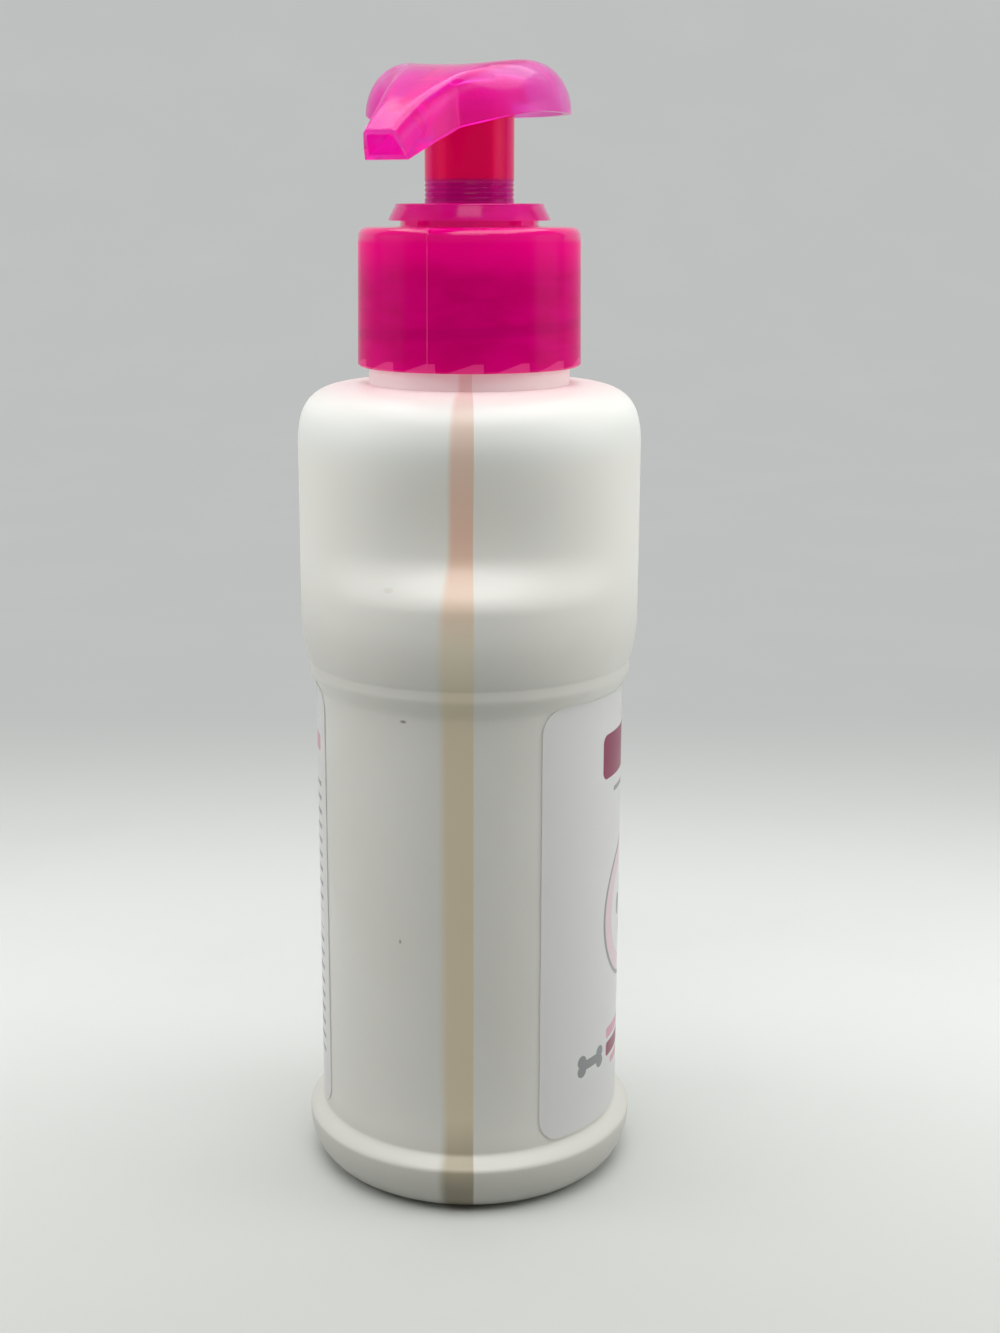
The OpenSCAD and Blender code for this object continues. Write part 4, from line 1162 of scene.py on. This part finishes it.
@dataclass
class PumpHead:
    """The pump head: a domed shell swept into a drooping open nozzle, on a boss and a ringed sleeve."""

    head_r: float = 15.2
    deck_r: float = 9.0
    rim_z: float = 166.8
    height: float = 7.5
    wall: float = 1.2
    dish: float = 0.4
    reach: float = 26.9
    rake: float = 2.2
    drop: float = 10.6
    tip_h: float = 4.0
    tip_top_w: float = 4.8
    tip_low_w: float = 6.7
    tip_wall: float = 0.65
    mouth_depth: float = 6.0
    mouth_slope: float = 27.0
    web: float = 20.4
    nozzle: float = 155.0
    sleeve_r: float = 6.73
    sleeve_in_r: float = 5.6
    sleeve_z: float = 151.0
    boss_r: float = 9.1
    boss_z: float = 168.5
    socket_r: float = 3.55
    socket_out_r: float = 4.85
    socket_z: float = 157.0
    duct_r: float = 1.4
    duct_wall: float = 1.0
    duct_up: float = 2.6
    collar_clear_r: float = 12.6
    collar_clear_z: float = 166.4
    rings_z: Tuple[float, ...] = (154.8, 155.5, 156.2, 156.9)
    ring_depth: float = 0.14
    ring_half: float = 0.16
    side_points: int = 22
    deck_points: int = 15
    round_points: float = 7.0
    round_times: int = 10

    @property
    def top_z(self) -> float:
        """Height of the finger deck."""
        return self.rim_z + self.height

    def rim_at(self, s: np.ndarray) -> np.ndarray:
        """Height of the lower rim at distance s along the nozzle: level, then falling in a straight line."""
        start, bend = 0.323 * self.reach, 0.149 * self.reach
        fall = self.rim_z - (self.top_z - self.drop - self.tip_h)
        return self.rim_z - fall * soft_ramp(s - start, bend) / (self.reach - start)

    def rake_at(self, s: np.ndarray) -> np.ndarray:
        """Forward lean of the upper edge over the rim at s, a cubic step that starts beyond the dome."""
        start = 0.372
        return self.rake * ease((s / self.reach - start) / (1.0 - start))

    def deck_line(self, place: np.ndarray) -> np.ndarray:
        """Height of the deck along the nozzle: level behind the axis, then a parabola to the tip."""
        return self.top_z - self.drop * (np.maximum(place, 0.0) / (self.reach + self.rake)) ** 2

    def deck_at(self, s: np.ndarray) -> np.ndarray:
        """Height of the upper edge of the section at distance s, where its lean has carried it."""
        return self.deck_line(s + self.rake_at(s))

    def fillet_at(self, s: np.ndarray) -> np.ndarray:
        """Size of the rounding between dome and nozzle at distance s: up by a cubic step, down by another."""
        q = s / self.reach
        return self.head_r * ease(q / 0.3) * (1.0 - ease((q - 0.595) / 0.3))

    def rim_half(self, s: np.ndarray) -> np.ndarray:
        """Half-width of the outline: the dome's circle blended into the nozzle's taper."""
        dome = np.sqrt(np.maximum(self.head_r ** 2 - s ** 2, 0.0))
        nozzle = self.tip_low_w / 2.0 + 0.16 * (self.reach - s)
        return np.where(s <= 0.0, dome, soft_most(dome, nozzle, 0.197 * self.fillet_at(s)))

    def deck_half(self, s: np.ndarray) -> np.ndarray:
        """Half-width of the deck: a circle blended into the nozzle's taper, like the outline below it."""
        back = np.sqrt(np.maximum(self.deck_r ** 2 - s ** 2, 0.0))
        nozzle = self.tip_top_w / 2.0 + 0.14 * (self.reach + self.rake - s - self.rake_at(s))
        return np.where(s <= 0.0, back, soft_most(back, nozzle, 0.2 * self.fillet_at(s)))

    def dome_at(self, r: np.ndarray) -> np.ndarray:
        """Height of the dome at radius r: a flat with a quarter-ellipse round it."""
        q = np.clip((r - self.deck_r) / (self.head_r - self.deck_r), 0.0, 1.0)
        return self.rim_z + self.height * np.sqrt(1.0 - q * q)

    def outer_rows(self, s: np.ndarray) -> Tuple[np.ndarray, np.ndarray]:
        """Outer line of each section at distances s, from one rim over the deck to the other.

        Ahead of the axis the deck's edges are rounded by averaging each point near them with its neighbours,
        again and again.

        Args:
            s: distances along the nozzle, as a column.

        Returns:
            Offsets to the side and heights, one row for each section.
        """
        side, deck = self.side_points, self.deck_points
        t = np.linspace(0.0, 1.0, side)[None, :]
        rim, low, high = self.rim_half(s), self.rim_at(s), self.deck_at(s)
        top = np.where(s <= 0.0, np.maximum(self.deck_half(s), 0.3 * rim), self.deck_half(s))
        straight = 0.75 * ease((s / self.reach - 0.223) / 0.595)
        bow_u = np.cos(t * math.pi / 2.0) * (1.0 - straight) + (1.0 - t) * straight
        bow_z = np.sin(t * math.pi / 2.0) * (1.0 - straight) + t * straight
        u = top + (rim - top) * bow_u
        z = np.where(s <= 0.0, self.dome_at(np.hypot(s, u)), low + (high - low) * bow_z)
        q = np.linspace(1.0, -1.0, deck + 2)[None, 1:-1]
        deck_u = top * q
        deck_z = np.where(s <= 0.0, self.dome_at(np.hypot(s, deck_u)), high)
        hollow = np.where(s <= 0.0, np.clip(1.0 - (s ** 2 + deck_u ** 2) / self.deck_r ** 2, 0.0, 1.0),
                          (1.0 - q * q) * top / self.deck_r)
        deck_z = deck_z - self.dish * hollow
        outline = np.stack([np.concatenate([u, deck_u, -u[:, ::-1]], axis=1),
                            np.concatenate([z, deck_z, z[:, ::-1]], axis=1)])
        column = np.arange(outline.shape[2])
        from_edge = np.minimum(np.abs(column - side + 0.5), np.abs(column - side - deck + 0.5))
        near = from_edge < self.round_points
        share = near[None, None, 1:-1] * ease((s[None] - 2.0) / 8.0)
        for _ in range(self.round_times):
            bend = outline[:, :, :-2] - 2.0 * outline[:, :, 1:-1] + outline[:, :, 2:]
            outline[:, :, 1:-1] += share * bend / 4.0
        return outline[0], outline[1]

    def inner_rows(self, s: np.ndarray, hollow: np.ndarray) -> Tuple[np.ndarray, np.ndarray]:
        """Under side of each section: an arch inside the hollow dome, a flat line elsewhere.

        Args:
            s: distances along the nozzle, as a column.
            hollow: column that says which sections are hollow.

        Returns:
            Offsets to the side and heights, one row for each section.
        """
        inner_r = self.head_r - self.wall
        circle = np.sqrt(np.maximum(inner_r ** 2 - s ** 2, 0.0025))
        width = np.where(s <= 0.0, circle, self.rim_half(s) - self.wall)
        flat = np.maximum(np.minimum(self.deck_half(s), width) - 0.2, 0.02)
        ahead = ease(s / self.wall)
        roof = (self.dome_at(np.abs(np.minimum(s, 0.0)) + self.wall) * (1.0 - ahead)
                + (self.deck_line(s) - self.dish) * ahead - self.wall)
        low = self.rim_at(s)
        t = np.linspace(0.0, 1.0, 14)[None, :]
        u = flat + (width - flat) * np.cos(t * math.pi / 2.0)
        z = low + (np.maximum(roof, low) - low) * np.sin(t * math.pi / 2.0)
        narrow = np.minimum(width, 0.8 * self.rim_half(s)) / width
        u = np.where(hollow, u, u * narrow)
        z = np.where(hollow, z, low)
        return np.concatenate([-u, u[:, ::-1]], axis=1), np.concatenate([z, z[:, ::-1]], axis=1)

    def shell(self) -> np.ndarray:
        """Grid of the shell: sections from the dome's back to the tip, then the mouth's rim and inside."""
        inner_r = self.head_r - self.wall
        back = -self.head_r * np.cos(np.radians(np.linspace(1.5, 90.0, 44)))
        back[np.argmin(np.abs(back + inner_r))] = -inner_r
        front = np.concatenate([np.linspace(0.0, self.web, 48)[1:], [self.web + 0.01],
                                np.linspace(self.web, self.reach, 18)[1:]])
        s = np.concatenate([back, front])[:, None]
        hollow = (s >= -inner_r) & (s <= self.web + 0.001)
        outer_u, outer_z = self.outer_rows(s)
        inner_u, inner_z = self.inner_rows(s, hollow)
        u = np.concatenate([outer_u, inner_u], axis=1)
        z = np.concatenate([outer_z, inner_z], axis=1)
        low, high = self.rim_at(s), self.deck_at(s)
        lean = self.rake_at(s) * (z - low) / (high - low)
        lean[:, outer_u.shape[1]:] = 0.0
        grid = np.stack([s + lean, u, z], axis=-1)
        return np.concatenate([grid, self.mouth(grid[-1])])

    def crease(self, shell: np.ndarray) -> np.ndarray:
        """Share of the way from the rim, 0, to the deck's edge, 1, at each outer point.

        It is 1 on the tip's rim. On the deck the share falls to 0 within three points of the edge.

        Args:
            shell: grid of the shell, whose last five rows are the mouth.

        Returns:
            Array of shares, one for each point of the grid.
        """
        side = np.linspace(0.0, 1.0, self.side_points)
        step = np.arange(1, self.deck_points + 1)
        deck = np.clip(1.0 - np.minimum(step, step[::-1]) / 2.5, 0.0, 1.0)
        outer = np.concatenate([side, deck, side[::-1]])
        share = np.zeros(shell.shape[:2])
        share[:, :outer.size] = outer
        share[-5:-3] = 1.0
        share[-3:] = 0.0
        return share

    def tip_middle(self) -> np.ndarray:
        """Middle of the tip's face."""
        low = float(self.rim_at(np.array(self.reach)))
        return np.array([self.reach + self.rake / 2.0, 0.0, low + self.tip_h / 2.0])

    def mouth(self, tip: np.ndarray) -> np.ndarray:
        """Rows of the open mouth: the tip's outline drawn in by the wall, then carried back up the duct."""
        middle = self.tip_middle()
        walls = 2.0 * self.tip_wall
        inset = np.array([1.0, 1.0 - walls / self.tip_low_w, 1.0 - walls / self.tip_h])
        lip = middle + (tip - middle) * inset
        slope = math.radians(self.mouth_slope)
        back = np.array([-math.cos(slope), 0.0, math.sin(slope)])
        rows = [tip, lip]
        for share in (0.1, 0.55, 1.0):
            inner = middle + (lip - middle) * np.array([1.0, 1.0 - 0.25 * share, 1.0 - 0.2 * share])
            rows.append(inner + back * self.mouth_depth * share)
        return np.stack(rows)

    def column(self) -> np.ndarray:
        """Grid of the boss, sleeve and stem socket: a turned section whose top stays under the deck."""
        z = np.linspace(self.sleeve_z + 0.3, self.boss_z, 110)
        from_ring = (z[:, None] - np.array(self.rings_z)[None, :]) / self.ring_half
        rings = np.max(np.exp(-from_ring ** 2), axis=1)
        sleeve = np.stack([self.sleeve_r - self.ring_depth * rings, z], axis=1)
        roof = self.top_z - self.dish - 0.6
        profile = chain(
            [(self.sleeve_in_r, self.sleeve_z), (self.sleeve_r - 0.3, self.sleeve_z)], sleeve,
            line((self.boss_r, self.boss_z), (self.boss_r, roof), 6),
            line((self.boss_r, roof), (self.duct_r, roof), 6),
            [(self.duct_r, self.boss_z), (self.socket_r, self.boss_z), (self.socket_r, self.socket_z),
             (self.socket_out_r, self.socket_z), (self.socket_out_r, self.boss_z - 0.2),
             (self.sleeve_in_r, self.boss_z - 0.2)])
        grid = revolved(profile, 120)
        grid[..., 2] = np.minimum(grid[..., 2], self.deck_at(grid[..., 0]) - self.dish - 0.5)
        return grid

    def duct(self) -> np.ndarray:
        """Grid of the duct's wall in the hollow: a tube from boss to mouth, kept over rim and collar."""
        start = np.array([0.223 * self.reach, 0.0, self.boss_z + self.duct_up])
        end = self.tip_middle()
        along = (end - start) / np.linalg.norm(end - start)
        up = np.array([-along[2], 0.0, along[0]])
        turn = np.linspace(0.0, 2.0 * math.pi, 36, endpoint=False)[None, :, None]
        ring = (self.duct_r + self.duct_wall) * (np.cos(turn) * np.array([0.0, 1.0, 0.0]) + np.sin(turn) * up)
        run = np.linspace(0.0, self.web + 0.8 - start[0], 40)[:, None, None] / along[0]
        grid = start + run * along + ring
        floor = np.where(np.hypot(grid[..., 0], grid[..., 1]) < self.collar_clear_r, self.collar_clear_z, 0.0)
        grid[..., 2] = np.maximum(grid[..., 2], np.maximum(self.rim_at(grid[..., 0]) + 0.1, floor))
        return grid

    def build(self) -> bpy.types.Object:
        """Builds the head and turns it to its rest direction."""
        turn = math.radians(self.nozzle)
        c, s = math.cos(turn), math.sin(turn)
        spin = np.array([[c, s, 0.0], [-s, c, 0.0], [0.0, 0.0, 1.0]])
        shell = self.shell()
        skin = Skin().grid(shell @ spin, caps=True).grid(self.column() @ spin, loop=True)
        skin.grid(self.duct() @ spin, caps=True)
        made = skin.build("pump_head", 38.0, self.crease(shell))
        # glow sets the colour of a painted glow
        finish = HeadTint("head_pink", deep=(0.94, 0.24, 0.68), light=(1.0, 0.36, 0.82),
                          glow=(0.055, 0.0, 0.033), clear=0.82, rough=0.12, ior=1.36)
        return dress(made, Body.HEAD, finish.material(), ["actuator"])


@dataclass
class ReturnSpring:
    """The return spring, built at rest; nothing here shortens it with the stroke of the pump."""

    mean_r: float = 5.6
    wire_r: float = 0.45
    low_z: float = 104.05
    high_z: float = 128.35
    turns: int = 8
    stroke: float = 12.0

    def build(self, steel: bpy.types.Material) -> bpy.types.Object:
        """Builds a round wire carried along a helix whose end turns lie close.

        Args:
            steel: material of the wire.

        Returns:
            The spring.
        """
        turn = np.linspace(0.0, self.turns, self.turns * 40 + 1)[:, None]
        low, high = self.low_z + self.wire_r, self.high_z - self.wire_r
        close = 2.3 * self.wire_r
        middle = low + close * (np.clip(turn, 0.0, 1.0) + np.clip(turn - self.turns + 1.0, 0.0, 1.0))
        middle = middle + (high - low - 2.0 * close) * np.clip((turn - 1.0) / (self.turns - 2.0), 0.0, 1.0)
        around = np.linspace(0.0, 2.0 * math.pi, 12, endpoint=False)[None, :]
        radius = self.mean_r + self.wire_r * np.cos(around)
        grid = spun(radius, middle - self.wire_r * np.sin(around), turn * 2.0 * math.pi)
        made = Skin().grid(grid, caps=True).build("return_spring", 50.0)
        dress(made, Body.PUMP, steel, ["spring"])
        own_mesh(made)
        return made


@dataclass
class PumpWorks:
    """The parts of the pump that stay as the frame has them, with their own finishes."""

    steel: bpy.types.Material

    def build(self) -> None:
        """Dresses the housing, stem, seals, balls and dip tube."""
        natural = MilkyPlastic("natural_plastic", (0.74, 0.75, 0.76), 0.34).material()
        soft = MilkyPlastic("seal_plastic", (0.68, 0.69, 0.7), 0.5).material()
        for node in ("housing", "stem", "stem_plug", "dip_tube"):
            paint_node(node, natural)
        for node in ("gasket", "piston"):
            paint_node(node, soft)
        for node in ("inlet_ball", "outlet_ball"):
            paint_node(node, self.steel)


@dataclass
class Studio:
    """Pale floor that bends up far behind the object, soft lamps, a plain world and the camera."""

    # painted shadow on the floor in front of the object
    front: Colour = linear(208, 211, 206)
    near: Colour = linear(235, 237, 234)
    far: Colour = linear(190, 192, 191)
    bounce_loss: float = 0.38
    air: float = 0.12
    air_seen: float = 0.62
    floor_half: float = 3000.0
    floor_x: float = -2500.0
    wall_x: float = 1500.0
    wall_z: float = 2600.0
    bend: float = 700.0
    camera_place: Tuple[float, float, float] = (-294.6, 0.0, 153.7)
    pitch: float = 13.66
    focal: float = 1900.0
    image: Tuple[int, int] = (1000, 1333)
    axis_px: float = 469.4
    sensor: float = 36.0

    def floor(self) -> bpy.types.Object:
        """Builds the floor: a flat run, a quarter round and an upright wall, carried sideways.

        Its colour runs from a painted shadow in front over a paler tone round the object to a darker grey far
        behind.
        There the camera sees the plain colour, directly or by way of a piece. The light that the floor throws
        on other surfaces is dimmed by the bounce loss.

        Returns:
            The floor.
        """
        run = chain(line((self.floor_x, 0.0), (self.wall_x - self.bend, 0.0), 8),
                    arc((self.wall_x - self.bend, self.bend), (self.bend, self.bend), -90, 0, 24),
                    line((self.wall_x, self.bend), (self.wall_x, self.wall_z), 4))
        across = np.linspace(self.floor_half, -self.floor_half, 9)[None, :]
        x, z = run[:, :1], run[:, 1:]
        grid = np.stack(np.broadcast_arrays(x, across, z), axis=-1)
        made = Skin().grid(grid, ring=False).build("floor_sweep")
        s = Shader("floor_pale")
        along = s.axes()[0]
        marks = s.noise(14.0, 5.0).rise(0.45, 0.8)
        distance = along.rise(110.0, 290.0)
        # painted shadow darkens the floor in front
        near = s.mix(along.rise(-70.0, 60.0), self.front, self.near)
        colour = s.mix(distance, near, self.far)
        colour = s.mix(marks * 0.12, colour, (0.6, 0.61, 0.6))
        camera, glossy, transmission, diffuse = (
            s.add("ShaderNodeLightPath", output=f"Is {kind} Ray")
            for kind in ("Camera", "Glossy", "Transmission", "Diffuse"))
        glow = s.add("ShaderNodeEmission", None, {"Color": colour, "Strength": 1.0})
        dim = s.mix(diffuse * self.bounce_loss, colour, (0.0, 0.0, 0.0))
        cloth = s.add("ShaderNodeBsdfPrincipled", None, {"Base Color": dim, "Roughness": 0.6 + marks * 0.1})
        seen = distance * camera.most(glossy).most(transmission)
        s.add_output(s.add("ShaderNodeMixShader", None, {0: seen, 1: cloth, 2: glow}))
        made.data.materials.append(s.material)
        return made

    def lamp(self, name: str, place: Sequence[float], aim: Sequence[float], size: Sequence[float],
             power: float, mirrored: bool = True) -> None:
        """Adds a soft area lamp.

        Args:
            name: name of the lamp.
            place, aim: where it is and what it points at, in millimetres.
            size: its width and height in millimetres.
            power: its power in watts.
            mirrored: whether glossy surfaces show it.
        """
        data = bpy.data.lights.new(name, "AREA")
        data.shape = "RECTANGLE"
        data.size, data.size_y = size[0] * MM, size[1] * MM
        data.energy = power
        made = bpy.data.objects.new(name, data)
        made.visible_camera = False
        made.visible_glossy = mirrored
        self._aim(made, place, aim)
        bpy.context.scene.collection.objects.link(made)

    @staticmethod
    def _aim(thing: bpy.types.Object, place: Sequence[float], aim: Sequence[float]) -> None:
        """Puts a lamp at a place and turns its -Z to an aim."""
        back = np.asarray(place, float) - np.asarray(aim, float)
        flat = math.hypot(back[0], back[1])
        thing.location = [v * MM for v in place]
        thing.rotation_euler = (math.atan2(flat, back[2]), 0.0, math.atan2(back[1], back[0]) + math.pi / 2.0)

    def world(self) -> None:
        """Lights the scene evenly and shows a pale grey to the camera."""
        world = bpy.data.worlds.new("studio_air")
        bpy.context.scene.world = world
        world.use_nodes = True
        nodes, links = world.node_tree.nodes, world.node_tree.links
        path = nodes.new("ShaderNodeLightPath")
        strength = nodes.new("ShaderNodeMix")
        strength.inputs["A"].default_value = self.air
        strength.inputs["B"].default_value = self.air_seen
        links.new(path.outputs["Is Camera Ray"], strength.inputs["Factor"])
        air = nodes["Background"]
        air.inputs["Color"].default_value = (1.0, 1.0, 1.0, 1.0)
        links.new(strength.outputs["Result"], air.inputs["Strength"])

    def camera(self) -> None:
        """Adds the camera: level sideways, pitched down, with the axis left of the picture's middle."""
        long_side = max(self.image)
        data = bpy.data.cameras.new("photo_camera")
        data.sensor_width = self.sensor
        data.lens = self.sensor * self.focal / long_side
        data.shift_x = (self.image[0] / 2.0 - self.axis_px) / long_side
        data.clip_start, data.clip_end = 0.01, 50.0
        made = bpy.data.objects.new("photo_camera", data)
        made.location = [v * MM for v in self.camera_place]
        made.rotation_euler = (math.radians(90.0 - self.pitch), 0.0, math.radians(-90.0))
        bpy.context.scene.collection.objects.link(made)
        bpy.context.scene.camera = made

    def build(self) -> None:
        """Sets up floor, light and camera."""
        scene = bpy.context.scene
        scene.view_settings.view_transform = "Standard"
        self.camera()
        self.floor()
        self.world()
        self.lamp("top_softbox", (0.0, 0.0, 600.0), (0.0, 0.0, 60.0), (700.0, 700.0), 3.7)
        self.lamp("front_softbox", (-150.0, 0.0, 300.0), (0.0, 0.0, 110.0), (120.0, 120.0), 0.05)
        for name, y, power in (("left_softbox", 240.0, 0.18), ("right_softbox", -240.0, 0.22)):
            self.lamp(name, (-20.0, y, 170.0), (0.0, 0.0, 80.0), (150.0, 150.0), power, mirrored=False)


def main() -> None:
    """Builds the studio and every piece."""
    logging.basicConfig(level=logging.INFO, format="%(name)s: %(message)s")
    Studio().build()
    steel = BrightSteel().material()
    Bottle().build()
    FilmLabel(LabelSide.FRONT, width=53.5).build()
    FilmLabel(LabelSide.BACK, width=18.6).build()
    Closure().build()
    GuideCollar().build()
    PumpHead().build()
    ReturnSpring().build(steel)
    PumpWorks(steel).build()


if __name__ == "__main__":
    main()
